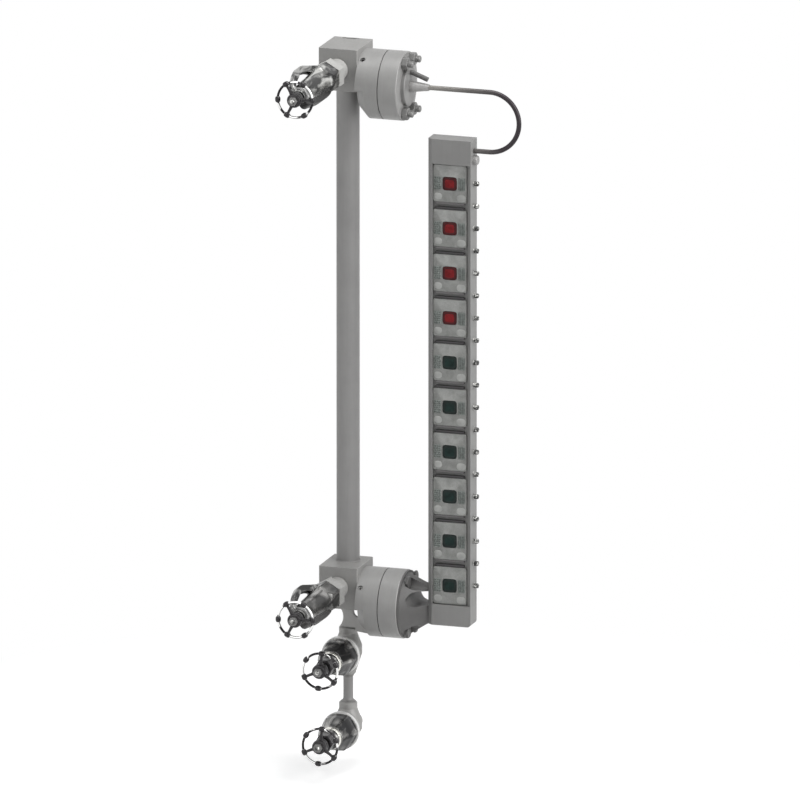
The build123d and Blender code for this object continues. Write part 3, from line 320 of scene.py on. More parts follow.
LONG_Z = (1.0, 1.0, 0.06)
ROUND_X = (1.0, 0.12, 0.12)
ALONG_Y = (1.0, 0.35, 1.0)
LOOKS = {
    # The block's strongly brightened edges are mostly a painted highlight along its edges
    "block": metal("forged_block", (0.32, 0.316, 0.308), 0.15, 0.5, stain=0.10, grain=700.0, edge_wear_and_highlight=1.9,
                   edge_radius=0.0011),
    "column": metal("column_tube", (0.298, 0.294, 0.290), 0.15, 0.46, LONG_Z, stain=0.08),
    "ring": metal("turned_ring", (0.335, 0.332, 0.326), 0.15, 0.44, ROUND_X, stain=0.10),
    "end_face": metal("end_disc_face", (0.25, 0.247, 0.243), 0.15, 0.46, ROUND_X, stain=0.10),
    "weld": metal("weld_bead", (0.28, 0.276, 0.27), 0.3, 0.42, stain=0.25, grain=500.0, grain_depth=0.3),
    "fastener": metal("fastener", (0.36, 0.36, 0.355), 0.7, 0.30, grain=1600.0, stain=0.2, edge_wear_and_highlight=1.7),
    "tube": metal("heat_tinted_tube", (0.25, 0.24, 0.225), 0.5, 0.36, (0.2, 1, 1), stain=0.25, edge_wear_and_highlight=1.0,
                  edge_radius=0.0002, heat_tint=(0.155, 0.268, (0.030, 0.024, 0.028))),
    # Brace steel lighter than the ring steel, to lift it out of the ring's shadow: painted light
    "brace": metal("brace_plate_steel", (0.47, 0.465, 0.454), 0.1, 0.5, stain=0.12, edge_wear_and_highlight=1.5),
    "cone": metal("turned_cone", (0.38, 0.375, 0.367), 0.2, 0.42, ROUND_X, stain=0.12),
    "dark": metal("dark_casting", (0.112, 0.110, 0.108), 0.15, 0.52, grain=500.0, grain_depth=0.18, edge_wear_and_highlight=1.8),
    "neck": metal("bright_neck", (0.47, 0.468, 0.452), 0.1, 0.45, ALONG_Y, stain=0.10),
    "drain_body": metal("drain_body", (0.40, 0.395, 0.384), 0.2, 0.45, stain=0.14),
    # The bonnet, arm, wheel-rim and screw looks below paint reflections, edge highlights and shade on faces
    # that look down into their colour
    "chrome": polished_with_painted_reflections("polished_bonnet", (0.05, 0.05, 0.05), (0.62, 0.62, 0.60), 0.22, ALONG_Y, patch=62.0,
                       low=0.45, high=0.60),
    "high_arm": polished_with_painted_reflections("polished_high_arm", (0.035, 0.035, 0.035), (0.40, 0.40, 0.39), 0.36, ALONG_Y,
                         patch=75.0, low=0.44, high=0.60, edge_radius=0.0012),
    # Darker copy of the bonnet look for the lower valve: painted shade
    "chrome_low": polished_with_painted_reflections("lower_polished_bonnet", (0.06, 0.06, 0.058), (0.36, 0.355, 0.345), 0.24, ALONG_Y,
                           patch=55.0, low=0.42, high=0.66),
    "neck_low": metal("shaded_neck", (0.40, 0.397, 0.384), 0.15, 0.42, ALONG_Y, stain=0.22, edge_wear_and_highlight=1.7,
                      edge_radius=0.001),
    # Near-black looks for the bonnets' low arms: painted shade on the arms' downward faces, with strongly
    # brightened edges as painted highlight lines
    "lower_valve_low_arm_shade": metal("lower_low_arm_painted_shade", (0.055, 0.053, 0.052), 0.7, 0.32, ALONG_Y, grain_depth=0.04,
                      edge_wear_and_highlight=9.0, edge_radius=0.0012),
    "upper_valve_low_arm_shade": metal("upper_low_arm_painted_shade", (0.028, 0.027, 0.027), 0.7, 0.34, ALONG_Y, grain_depth=0.04,
                       edge_wear_and_highlight=9.0, edge_radius=0.0010),
    "drain_bonnet": polished_with_painted_reflections("dark_polished_bonnet", (0.04, 0.04, 0.041), (0.50, 0.495, 0.48), 0.22,
                             ALONG_Y, patch=50.0, low=0.50, high=0.70, edge_radius=0.0014),
    # Near-white band on the drain bonnets' nose: a painted highlight
    "nose_band": metal("bright_nose_band", (0.80, 0.79, 0.74), 0.9, 0.2, ALONG_Y, stain=0.1, edge_wear_and_highlight=1.1),
    # Near-white drain rings: the ring's highlight painted into its colour
    "bright_ring": metal("bright_ring", (0.86, 0.855, 0.84), 0.3, 0.32, ALONG_Y, stain=0.06, edge_wear_and_highlight=1.1),
    # Rim mottled near-black and near-white: painted reflections
    "wheel_rim": polished_with_painted_reflections("polished_wheel_rim", (0.03, 0.028, 0.03), (0.88, 0.88, 0.87), 0.14, patch=34.0,
                          low=0.47, high=0.53),
    # Side screw heads mottled dark and bright: painted reflections
    "screw": polished_with_painted_reflections("side_screw", (0.05, 0.05, 0.05), (0.62, 0.62, 0.60), 0.25, patch=240.0, low=0.46,
                      high=0.60),
    "wheel_dark": metal("dark_wheel_parts", (0.035, 0.033, 0.035), 0.6, 0.28, grain_depth=0.05, edge_wear_and_highlight=2.4),
    "frame": metal("gauge_frame_paint", (0.264, 0.262, 0.257), 0.05, 0.55, LONG_Z, stain=0.08, coat=0.1),
    "cover": metal("back_cover_paint", (0.26, 0.26, 0.258), 0.05, 0.55, LONG_Z, stain=0.08),
    "bar": metal("separator_bar", (0.045, 0.042, 0.044), 0.3, 0.42, edge_wear_and_highlight=1.6, edge_radius=0.0003),
    "bar_light": metal("separator_band", (0.125, 0.121, 0.122), 0.3, 0.42, edge_wear_and_highlight=1.4, edge_radius=0.0003),
    # Strong pane clouding: partly the glass's own clouding, partly painted reflection
    "pane": moulded("cell_pane", (0.27, 0.275, 0.262), 0.25, coat=0.25, speckle=0.22, cloud=55.0),
    "pad": moulded("textured_pad", (0.205, 0.225, 0.21), 0.5, speckle=0.35, cloud=300.0, grain_depth=0.5),
    "red": moulded("red_lens", (0.165, 0.013, 0.015), 0.35, glow=0.15, speckle=0.35, cloud=90.0,
                   specular=0.12),
    "green": moulded("green_lens", (0.010, 0.024, 0.021), 0.35, glow=0.05, speckle=0.4, cloud=90.0,
                     specular=0.15),
    "bolt": metal("connector_bolt", (0.22, 0.218, 0.214), 0.4, 0.38, grain=1600.0, stain=0.2, edge_wear_and_highlight=1.6),
    # Light tabs in the panes' lower corners: painted highlight
    "pane_tab_highlight": moulded("pane_tab_highlight", (0.40, 0.405, 0.39), 0.3, coat=0.15, speckle=0.2),
    "pad_relief": moulded("pad_relief", (0.10, 0.115, 0.108), 0.5, speckle=0.4, cloud=300.0),
    # Darker lens borders round the brighter domes: painted shade at the lens edges
    "red_rim": moulded("red_lens_border", (0.060, 0.008, 0.009), 0.40, speckle=0.35, cloud=90.0,
                       specular=0.2),
    "green_rim": moulded("green_lens_border", (0.012, 0.020, 0.018), 0.40, speckle=0.35, cloud=90.0,
                         specular=0.2),
    "glass": moulded("port_glass", (0.85, 0.92, 0.90), 0.05, transmission=0.9, speckle=0.03),
    "board": moulded("lamp_board", (0.02, 0.13, 0.05), 0.4, coat=0.3, speckle=0.3),
    "graphite": moulded("graphite", (0.035, 0.035, 0.035), 0.55, speckle=0.4, grain_depth=0.4),
}

NODE_LOOKS = {
    "block": ["upper_block", "lower_block"],
    "column": ["column_pipe", "drop_pipes"],
    "ring": ["upper_base_ring", "lower_base_ring", "upper_cap_ring", "lower_cap_ring"],
    "brace": ["brace_plate"],
    "end_face": ["upper_end_disc"],
    "fastener": ["slot_plug", "ring_bolts", "cover_screws", "side_screws", "isolation_gland_nuts"],
    "cone": ["tube_nut", "side_plug"],
    "tube": ["expansion_tube"],
    "dark": ["lower_end_cover", "ring_set_screws", "tube_stay"],
    "frame": ["gauge_body", "front_frame"],
    "cover": ["back_cover"],
    "bar": ["separator_bars"],
    "pane": ["cell_panes"],
    "pad": ["side_pads"],
    "red": ["red_lenses"],
    "green": ["green_lenses"],
    "glass": ["port_glasses"],
    "board": ["lamp_board"],
    "graphite": ["ring_gaskets", "stem_packings"],
    "bright_ring": ["drain_rings"],
    "wheel_dark": ["drain_gland_nuts"],
    "neck": [],
    "neck_low": [],
    "chrome": [],
    "drain_body": [],
    "drain_bonnet": [],
}
for level in AXIS_HEIGHTS:
    NODE_LOOKS["neck" if level == "upper" else "neck_low"] += [f"{level}_valve_neck"]
    NODE_LOOKS["chrome"] += [f"{level}_valve_bonnet", f"{level}_valve_stem"]
    NODE_LOOKS["fastener"] += [f"{level}_valve_plug", f"{level}_wheel_nut"]
    NODE_LOOKS["wheel_dark"] += [f"{level}_handwheel"]
for order in DRAIN_HEIGHTS:
    NODE_LOOKS["drain_body"] += [f"{order}_drain_body"]
    NODE_LOOKS["drain_bonnet"] += [f"{order}_drain_bonnet"]
    NODE_LOOKS["chrome"] += [f"{order}_drain_stem"]
    NODE_LOOKS["fastener"] += [f"{order}_drain_plug", f"{order}_drain_wheel_nut"]
    NODE_LOOKS["wheel_dark"] += [f"{order}_drain_handwheel"]
for look, names in NODE_LOOKS.items():
    for name in names:
        mesh = NODES[name].data
        mesh.materials.clear()
        mesh.materials.append(LOOKS[look])


# Mesh helpers

def finish_piece(name, bm, looks, body, replaced=(), smooth_angle=35.0):
    """Turn a bmesh in millimetres into a piece in metres that rides on a body."""
    bmesh.ops.scale(bm, vec=(MM, MM, MM), verts=bm.verts)
    bmesh.ops.recalc_face_normals(bm, faces=bm.faces)
    mesh = bpy.data.meshes.new(name)
    bm.to_mesh(mesh)
    bm.free()
    for look in looks:
        mesh.materials.append(LOOKS[look])
    mesh.shade_smooth()
    mesh.set_sharp_from_angle(angle=math.radians(smooth_angle))
    piece = bpy.data.objects.new(name, mesh)
    bpy.context.scene.collection.objects.link(piece)
    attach(piece, body)
    if replaced:
        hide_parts(*replaced)


def frame_at(origin, ahead, side):
    """Matrix with local Z along one direction and local X along another."""
    forward = Vector(ahead).normalized()
    across = (Vector(side) - forward * forward.dot(Vector(side))).normalized()
    upward = forward.cross(across)
    turn = Matrix((across, upward, forward)).transposed().to_4x4()
    return Matrix.Translation(Vector(origin)) @ turn


def join_loops(bm, loops, look, closed=False):
    """Faces between neighbouring loops of points; a one-point loop closes to that point."""
    pairs = list(zip(loops[:-1], loops[1:]))
    if closed:
        pairs.append((loops[-1], loops[0]))
    for first, second in pairs:
        count = max(len(first), len(second))
        for step in range(count):
            following = (step + 1) % count
            corners = []
            for loop, index in ((first, step), (first, following), (second, following), (second, step)):
                vertex = loop[index % len(loop)]
                if vertex not in corners:
                    corners.append(vertex)
            if len(corners) > 2:
                bm.faces.new(corners).material_index = look


def add_turned(bm, profile, matrix, steps=64, closed=False, look=0):
    """Revolve (along, radius) points about local Z; a radius may be a function of the angle."""
    loops = []
    for along, radius in profile:
        if not callable(radius) and radius < 1e-6:
            loops.append([bm.verts.new(matrix @ Vector((0, 0, along)))])
            continue
        loop = []
        for step in range(steps):
            angle = 2 * math.pi * step / steps
            reach = radius(angle) if callable(radius) else radius
            loop.append(bm.verts.new(matrix @ Vector((reach * math.cos(angle), reach * math.sin(angle),
                                                      along))))
        loops.append(loop)
    join_loops(bm, loops, look, closed)


def cone_cut_hexagon(flats, limit):
    """A function of the angle: the radius of a hexagon, never above a limit."""
    def radius(angle):
        turn = angle % (math.pi / 3) - math.pi / 6
        return min(flats / 2 / math.cos(turn), limit)
    return radius


def hexagon_profile(flats, start, end, round_start=True):
    """Layers of a hexagon between two places, with the corners turned off by 30 degree cones."""
    depths = (0.0, 0.4, 0.8, 1.2, 1.7)
    layers = []
    for depth in depths:
        cut = flats * 0.48 + 1.73 * depth if round_start else flats
        layers.append((start + depth, cone_cut_hexagon(flats, cut)))
    for depth in reversed(depths):
        layers.append((end - depth, cone_cut_hexagon(flats, flats * 0.48 + 1.73 * depth)))
    return layers


def add_torus(bm, matrix, radius, wire, steps, sides, ripple=0.0, waves=0):
    """A ring of round wire; a ripple makes it a weld bead."""
    loops = []
    for step in range(steps):
        angle = 2 * math.pi * step / steps
        size = wire * (1.0 + ripple * math.sin(waves * angle))
        loop = []
        for side in range(sides):
            turn = 2 * math.pi * side / sides
            out = radius + size * math.cos(turn)
            loop.append(bm.verts.new(matrix @ Vector((out * math.cos(angle), out * math.sin(angle),
                                                      size * math.sin(turn)))))
        loops.append(loop)
    join_loops(bm, loops, 0, closed=True)


def rounded_outline(half_width, half_height, exponent, steps):
    """Points of a rectangle with softly rounded corners."""
    points = []
    for step in range(steps):
        angle = 2 * math.pi * (step + 0.5) / steps
        cosine = math.cos(angle)
        sine = math.sin(angle)
        across = math.copysign(abs(cosine) ** (2.0 / exponent), cosine) * half_width
        rise = math.copysign(abs(sine) ** (2.0 / exponent), sine) * half_height
        points.append((across, rise))
    return points


def add_pillow(bm, matrix, half_width, half_height, layers, exponent, steps):
    """Stack (along, inset, look) layers of one rounded outline and close both ends."""
    loops = []
    for along, inset, look in layers:
        outline = rounded_outline(half_width - inset, half_height - inset, exponent, steps)
        loops.append(([bm.verts.new(matrix @ Vector((across, rise, along))) for across, rise in outline],
                      look))
    first_centre = [bm.verts.new(matrix @ Vector((0, 0, layers[0][0])))]
    last_centre = [bm.verts.new(matrix @ Vector((0, 0, layers[-1][0])))]
    join_loops(bm, [first_centre, loops[0][0]], loops[0][1])
    for (first, _), (second, look) in zip(loops[:-1], loops[1:]):
        join_loops(bm, [first, second], look)
    join_loops(bm, [loops[-1][0], last_centre], loops[-1][1])


def add_plate(bm, matrix, outline, half_thickness, edge, look):
    """A flat plate with an outline in its own plane and rounded edges."""
    sides = []
    for level in (-half_thickness, half_thickness):
        sides.append([bm.verts.new(matrix @ Vector((across, rise, level))) for across, rise in outline])
    faces = [bm.faces.new(sides[0]), bm.faces.new(sides[1])]
    for step in range(len(outline)):
        following = (step + 1) % len(outline)
        faces.append(bm.faces.new((sides[0][step], sides[0][following], sides[1][following],
                                   sides[1][step])))
    for face in faces:
        face.material_index = look
    rims = list(faces[0].edges) + list(faces[1].edges)
    bmesh.ops.bevel(bm, geom=rims, offset=edge, segments=3, profile=0.5, affect="EDGES", material=look)


def eased(outline, kept):
    """Cut every corner of an outline twice, apart from the kept points."""
    for _ in range(2):
        smoother = []
        for index, point in enumerate(outline):
            if point in kept:
                smoother.append(point)
                continue
            before = outline[index - 1]
            after = outline[(index + 1) % len(outline)]
            smoother.append(tuple(0.75 * here + 0.25 * there for here, there in zip(point, before)))
            smoother.append(tuple(0.75 * here + 0.25 * there for here, there in zip(point, after)))
        outline = smoother
    return outline


# Bonnets

def add_isolation_bonnet(name, node, look, low_arm_look, height):
    """Hexagon bonnet with a turned nose, a bowed high arm, a full low arm and the crosshead."""
    bm = bmesh.new()
    foot = (0, ISOLATION_COLLAR_FRONT, height)
    place = frame_at(foot, FRONT, X_AXIS)
    flats = ISOLATION_BONNET_FLATS
    end = ISOLATION_BONNET_LENGTH
    corner = flats / 2 / math.cos(math.radians(30))
    body = [(-8.0, STEM_HOLE), (-8.0, SPIGOT_RADIUS), (0.0, SPIGOT_RADIUS)]
    for along, limit in ((0.0, corner - 2.0), (1.0, corner - 1.0), (2.0, corner), (28.0, corner),
                         (31.0, 25.2), (34.0, 23.4), (37.0, 21.6)):
        body.append((along, cone_cut_hexagon(flats, limit)))
    body += [(40.0, 20.6), (60.0, 20.0), (90.0, 19.0), (end - 12.0, 17.8), (end - 5.0, 17.2),
             (end - 1.5, 16.4), (end, 15.0), (end, PACKING_RADIUS),
             (ISOLATION_PACKING_FLOOR, PACKING_RADIUS), (ISOLATION_PACKING_FLOOR, STEM_HOLE)]
    add_turned(bm, body, place @ Matrix.Rotation(math.radians(30), 4, "Z"), steps=96, closed=True)
    back, front = CROSSHEAD_BACK, CROSSHEAD_FRONT
    edge = 0.8
    add_turned(bm, [(back, STEM_HOLE), (back, CROSSHEAD_RADIUS - edge), (back + edge, CROSSHEAD_RADIUS),
                    (front - edge, CROSSHEAD_RADIUS), (front, CROSSHEAD_RADIUS - edge), (front, STEM_HOLE)],
               place, steps=72, closed=True)
    inside = GLAND_FLATS / 2 / math.cos(math.radians(30)) + GLAND_GAP
    lug = 8.4
    tip = [(front - 0.6, inside + 3.4), (front - 0.6, lug), (back + 0.6, lug), (back + 0.6, inside)]
    high = [(6.0, 17.0), (6.0, 23.5), (40.0, 32.0), (75.0, 42.0), (112.0, 33.5)]
    high += tip + [(112.0, 24.0), (75.0, 32.5), (37.0, 17.0)]
    low = [(27.0, 13.0), (27.0, 23.0), (50.0, 27.0), (86.0, 27.5), (118.0, 23.5)]
    low += tip + [(124.0, inside - 0.6), (124.0, 13.0)]
    # The low arm takes its own near-black look: painted shade
    arms = ((HIGH_ARM_ANGLE, high, 4.5, 1), (LOW_ARM_ANGLE, low, 7.0, 2))
    for angle, outline, half_thickness, index in arms:
        turn = math.radians(angle)
        outward = Vector((math.cos(turn), 0, math.sin(turn)))
        kept = (tip[1], tip[2], outline[0], outline[-1])
        add_plate(bm, frame_at(foot, FRONT.cross(outward), FRONT), eased(outline, kept), half_thickness, 1.3,
                  index)
    finish_piece(name, bm, [look, "high_arm", low_arm_look], ROOT, [node])


def add_drain_bonnet(name, node, height):
    """Domed bonnet whose six flats fade into the round nose."""
    bm = bmesh.new()
    body = [(-14.0, STEM_HOLE), (-14.0, SPIGOT_RADIUS), (0.0, SPIGOT_RADIUS)]
    for along, reach, flats in ((0.0, 29.4, 58.0), (1.5, 31.0, 57.0), (6.0, 31.0, 56.0), (7.0, 30.6, 54.6),
                                (23.0, 30.2, 53.4), (24.5, 29.2, 52.0), (40.0, 25.2, 44.5),
                                (42.0, 24.0, 43.5), (49.5, 20.6, 38.6)):
        body.append((along, cone_cut_hexagon(flats, reach)))
    place = frame_at((0, DRAIN_RING_FRONT, height), FRONT, X_AXIS)
    add_turned(bm, body + [(49.5, 17.0), (DRAIN_PACKING_FLOOR, 17.0), (DRAIN_PACKING_FLOOR, STEM_HOLE)],
               place, steps=96, closed=True)
    # The near-white band on the nose is a painted highlight
    add_turned(bm, [(44.5, PACKING_RADIUS), (44.5, 16.8), (50.0, 16.8), (50.3, 18.6), (51.0, 19.2),
                    (55.0, 18.2), (55.6, 17.0), (55.6, PACKING_RADIUS)], place, steps=96, closed=True, look=1)
    end = DRAIN_BONNET_LENGTH
    add_turned(bm, [(55.6, PACKING_RADIUS), (55.6, 17.4), (end - 5.0, 17.8), (end - 1.4, 16.6), (end, 15.0),
                    (end, PACKING_RADIUS)], place, steps=96, closed=True)
    finish_piece(name, bm, ["drain_bonnet", "nose_band"], ROOT, [node],
                 smooth_angle=24.0)


add_isolation_bonnet("upper_bonnet_and_yoke", "upper_valve_bonnet", "chrome", "upper_valve_low_arm_shade",
                     AXIS_HEIGHTS["upper"])
add_isolation_bonnet("lower_bonnet_and_yoke", "lower_valve_bonnet", "chrome_low", "lower_valve_low_arm_shade",
                     AXIS_HEIGHTS["lower"])
for order, height in DRAIN_HEIGHTS.items():
    add_drain_bonnet(f"{order}_drain_dome", f"{order}_drain_bonnet", height)


# Handwheels

def add_wheel(name, body, node, middle, height, first_angle):
    """Round rim with painted reflections, dark node beads, tapered spokes and a grooved hub."""
    bm = bmesh.new()
    front = frame_at((0, middle, height), FRONT, X_AXIS)
    end = HUB_HALF_LENGTH
    add_torus(bm, front, WHEEL_RADIUS, WHEEL_WIRE, steps=120, sides=18)
    add_turned(bm, [(-end, HUB_HOLE), (-end, 10.4), (-8.4, 11.4), (-7.2, 12.0), (-3.0, 12.0), (-2.2, 11.2),
                    (2.2, 11.2), (3.0, 12.0), (6.8, 11.8), (8.4, 10.8), (end, 9.2), (end, HUB_HOLE)],
               front, closed=True, look=1)
    for index in range(BEADS):
        angle = math.radians(first_angle + index * 360 / BEADS)
        outward = front.to_3x3() @ Vector((math.cos(angle), math.sin(angle), 0))
        along_rim = front.to_3x3() @ Vector((-math.sin(angle), math.cos(angle), 0))
        centre = front.translation + outward * WHEEL_RADIUS
        add_turned(bm, [(-4.9, 0), (-4.9, 2.3), (-4.4, 3.3), (-3.2, 4.0), (-1.4, 4.4), (1.4, 4.4), (3.2, 4.0),
                        (4.4, 3.3), (4.9, 2.3), (4.9, 0)],
                   frame_at(centre, along_rim, outward), steps=28, look=1)
        if index % 2 == 0:
            add_turned(bm, [(9.0, 0), (9.0, 3.6), (12.5, 3.4), (15.0, 2.7), (20.0, 2.3), (25.0, 2.3),
                            (28.0, 2.9), (WHEEL_RADIUS, 0)],
                       frame_at(front.translation, outward, FRONT), steps=24, look=1)
    finish_piece(name, bm, ["wheel_rim", "wheel_dark"], body, [node])


for level, height in AXIS_HEIGHTS.items():
    add_wheel(f"{level}_wheel_rim_and_hub", f"{level}_isolation_wheel", f"{level}_handwheel",
              WHEEL_MIDDLES["isolation"], height, FIRST_BEAD_ANGLES["isolation"])
for order, height in DRAIN_HEIGHTS.items():
    add_wheel(f"{order}_drain_wheel_rim_and_hub", f"{order}_drain_wheel", f"{order}_drain_handwheel",
              WHEEL_MIDDLES["drain"], height, FIRST_BEAD_ANGLES["drain"])


# Nuts, stud bolts and set screws

def add_wheel_nut(name, body, node, middle, height):
    """Nut in front of a handwheel's hub."""
    bm = bmesh.new()
    seat = middle - HUB_HALF_LENGTH
    profile = [(0, WHEEL_NUT_HOLE)] + hexagon_profile(WHEEL_NUT_FLATS, 0.0, WHEEL_NUT_HEIGHT)
    profile.append((WHEEL_NUT_HEIGHT, WHEEL_NUT_HOLE))
    add_turned(bm, profile, frame_at((0, seat, height), FRONT, X_AXIS), steps=72, closed=True)
    finish_piece(name, bm, ["bolt"], body, [node])


for level, height in AXIS_HEIGHTS.items():
    add_wheel_nut(f"{level}_wheel_nut_fine", f"{level}_isolation_wheel", f"{level}_wheel_nut",
                  WHEEL_MIDDLES["isolation"], height)
for order, height in DRAIN_HEIGHTS.items():
    add_wheel_nut(f"{order}_drain_wheel_nut_fine", f"{order}_drain_wheel", f"{order}_drain_wheel_nut",
                  WHEEL_MIDDLES["drain"], height)


def add_gland_nuts(name, node, look, heights, seat, length, nose):
    """Gland nuts round the stems, with the nose that goes into the bonnet."""
    bm = bmesh.new()
    for height in heights:
        profile = [(-nose, STEM_HOLE), (-nose, 10.4), (0, 10.4)] + hexagon_profile(GLAND_FLATS, 0.0, length)
        profile += [(length, 8.2), (length - 1.2, 7.0), (length - 1.2, STEM_HOLE)]
        add_turned(bm, profile, frame_at((0, seat, height), FRONT, X_AXIS), steps=72, closed=True)
    finish_piece(name, bm, [look], ROOT, [node])


add_gland_nuts("isolation_gland_hexagons", "isolation_gland_nuts", "fastener", AXIS_HEIGHTS.values(),
               ISOLATION_COLLAR_FRONT - ISOLATION_BONNET_LENGTH, length=10.0, nose=11.0)
add_gland_nuts("drain_gland_hexagons", "drain_gland_nuts", "wheel_dark", DRAIN_HEIGHTS.values(),
               DRAIN_RING_FRONT - DRAIN_BONNET_LENGTH, length=24.0, nose=8.0)


def add_ring_bolts():
    """Stud bolts with nuts on the upper connector and low heads in the lower end cover."""
    bm = bmesh.new()
    for level, ring_height in RING_HEIGHTS.items():
        is_upper = level == "upper"
        seat = RIM_FACE if is_upper else RIM_FACE + SPOT_FACE_DEPTH
        head = NUT_HEIGHT if is_upper else LOW_HEAD_HEIGHT
        look = 0 if is_upper else 1
        for angle in BOLT_ANGLES:
            turn = math.radians(angle)
            centre = (0, RING_AXIS_Y + BOLT_CIRCLE * math.cos(turn),
                      ring_height + BOLT_CIRCLE * math.sin(turn))
            place = frame_at(centre, X_AXIS, (0, 1, 0))
            add_turned(bm, [(BOLT_END, 0), (BOLT_END, 5.2), (BOLT_END + 0.8, 6.0), (seat + 1.0, 6.0),
                            (seat + 1.0, 0)], place, steps=36)
            washer_face = [(seat, 0), (seat, 9.2), (seat + 0.5, 9.2)]
            outer = hexagon_profile(BOLT_FLATS, seat + 0.5, seat + head, round_start=False)
            add_turned(bm, washer_face + outer + [(seat + head, 0)], place, steps=72, look=look)
            if is_upper:
                ridges = [(seat + head - 0.5, 0), (seat + head - 0.5, 5.4)]
                for index in range(5):
                    start = seat + head + index * 1.45
                    ridges += [(start, 5.2), (start + 0.7, 5.85)]
                ridges += [(seat + head + 7.4, 5.1), (seat + head + 8.0, 4.2), (seat + head + 8.0, 0)]
                add_turned(bm, ridges, place, steps=36)
    finish_piece("ring_bolts_fine", bm, ["bolt", "dark"], ROOT, ["ring_bolts"],
                 smooth_angle=28.0)


def add_set_screws():
    """Socket set screws sunk in the base rings."""
    bm = bmesh.new()
    # The upper screw takes the dark look and the lower one the lighter cone look; the lower screw's lighter
    # colour is a painted highlight
    for index, (level, angle) in enumerate(SET_SCREW_ANGLES.items()):
        turn = math.radians(angle)
        outward = Vector((0, math.cos(turn), math.sin(turn)))
        mouth = Vector((SET_SCREW_X, RING_AXIS_Y, RING_HEIGHTS[level])) + outward * RING_RADIUS
        socket = cone_cut_hexagon(3.9, 9.0)
        add_turned(bm, [(-11.0, 0), (-11.0, 4.5), (-2.7, 4.5), (-2.2, 4.3), (-2.0, 3.8), (-2.0, socket),
                        (-6.5, socket), (-6.9, 0)], frame_at(mouth, outward, X_AXIS), steps=48, look=index)
    finish_piece("ring_set_screws_fine", bm, ["dark", "cone"], ROOT, ["ring_set_screws"])


add_ring_bolts()
add_set_screws()


# Screws along the right side and on the back cover

def add_side_screws():
    """Round-head screws down the right side, half a cell apart, with sunk ends."""
    bm = bmesh.new()
    for index in range(SIDE_SCREWS):
        place = frame_at((BODY_RIGHT, RING_AXIS_Y, CELL_HEIGHTS[0] + index * CELL_PITCH / 2), X_AXIS,
                         (0, 1, 0))
        add_turned(bm, [(-9.0, 0), (-9.0, 2.3), (0.05, 2.3), (0.05, 5.2), (0.8, 5.2), (1.0, 4.0), (7.2, 4.0),
                        (8.0, 3.6), (8.5, 2.7), (8.5, 1.9), (7.2, 1.7), (7.0, 0)], place, steps=32)
    finish_piece("side_screws_fine", bm, ["screw"], ROOT, ["side_screws"],
                 smooth_angle=40.0)


def add_cover_screws():
    """Pan-head screws on the back cover."""
    bm = bmesh.new()
    for side in COVER_SCREW_SIDES:
        for height in COVER_SCREW_HEIGHTS:
            place = frame_at((side, COVER_BACK, height), (0, 1, 0), X_AXIS)
            add_turned(bm, [(-6.0, 0), (-6.0, 1.9), (0, 1.9), (0, 3.5), (0.9, 3.45), (1.6, 2.9), (2.0, 1.7),
                            (2.0, 1.2), (1.1, 0.9), (0.9, 0)], place, steps=32)
    finish_piece("cover_screws_fine", bm, ["fastener"], ROOT, ["cover_screws"],
                 smooth_angle=40.0)


add_side_screws()
add_cover_screws()


# Cells: panes, lenses, pads and separator bars

def cell_frame(height, along=0.0):
    """Place in front of a cell, with local Z towards the operator."""
    return frame_at((BODY_MIDDLE, PRESSURE_FRONT - along, height), FRONT, X_AXIS)


def add_panes():
    """Panes with a soft outer edge, a raised lip round the lens and light tabs in the lower corners, whose
    light colour is a painted highlight.
    """
    bm = bmesh.new()
    steps = 96
    outer = rounded_outline(*PANE_HALF_SIZE, 16.0, steps)
    inner = rounded_outline(*PANE_OPENING, 6.0, steps)
    tabs = ((-19.8, -21.8, 7.0, 6.0), (19.8, -23.4, 8.0, 6.4))
    layers = [(0.0, 0.0, 0), (3.6, 0.0, 0), (4.3, 0.03, 0), (4.5, 0.07, 0), (4.5, 0.89, 0), (4.7, 0.92, 0),
              (4.9, 0.95, 0), (4.7, 0.99, 0), (4.2, 1.0, 0), (0.0, 1.0, 0)]
    for height in CELL_HEIGHTS:
        place = cell_frame(height)
        loops = []
        for along, blend, look in layers:
            loop = []
            for (across, rise), (inner_across, inner_rise) in zip(outer, inner):
                loop.append(bm.verts.new(place @ Vector((across + (inner_across - across) * blend,
                                                         rise + (inner_rise - rise) * blend, along))))
            loops.append((loop, look))
        for (first, _), (second, look) in zip(loops[:-1], loops[1:]):
            join_loops(bm, [first, second], look)
        join_loops(bm, [loops[-1][0], loops[0][0]], 0)
        for across, rise, half_width, half_height in tabs:
            tab = place @ Matrix.Translation((across, rise, 4.3))
            add_pillow(bm, tab, half_width, half_height, [(0, 0, 1), (0.4, 0.8, 1), (0.7, 2.6, 1)],
                       exponent=2.6, steps=32)
    finish_piece("cell_panes_fine", bm, ["pane", "pane_tab_highlight"], ROOT, ["cell_panes"],
                 smooth_angle=40.0)


def add_lenses(name, node, looks, heights):
    """Pillow lenses: a dark rounded border round a brighter dome; the darker border is painted shade."""
    bm = bmesh.new()
    for height in heights:
        add_pillow(bm, cell_frame(height), *LENS_HALF_SIZE,
                   [(0, 0, 0), (4.2, 0, 0), (4.9, 0.4, 0), (5.2, 1.4, 0), (5.2, 3.4, 0), (5.0, 4.0, 0),
                    (5.15, 4.6, 1), (5.35, 6.0, 1), (5.5, 8.5, 1)], exponent=4.5, steps=56)
    finish_piece(name, bm, looks, ROOT, [node],
                 smooth_angle=40.0)


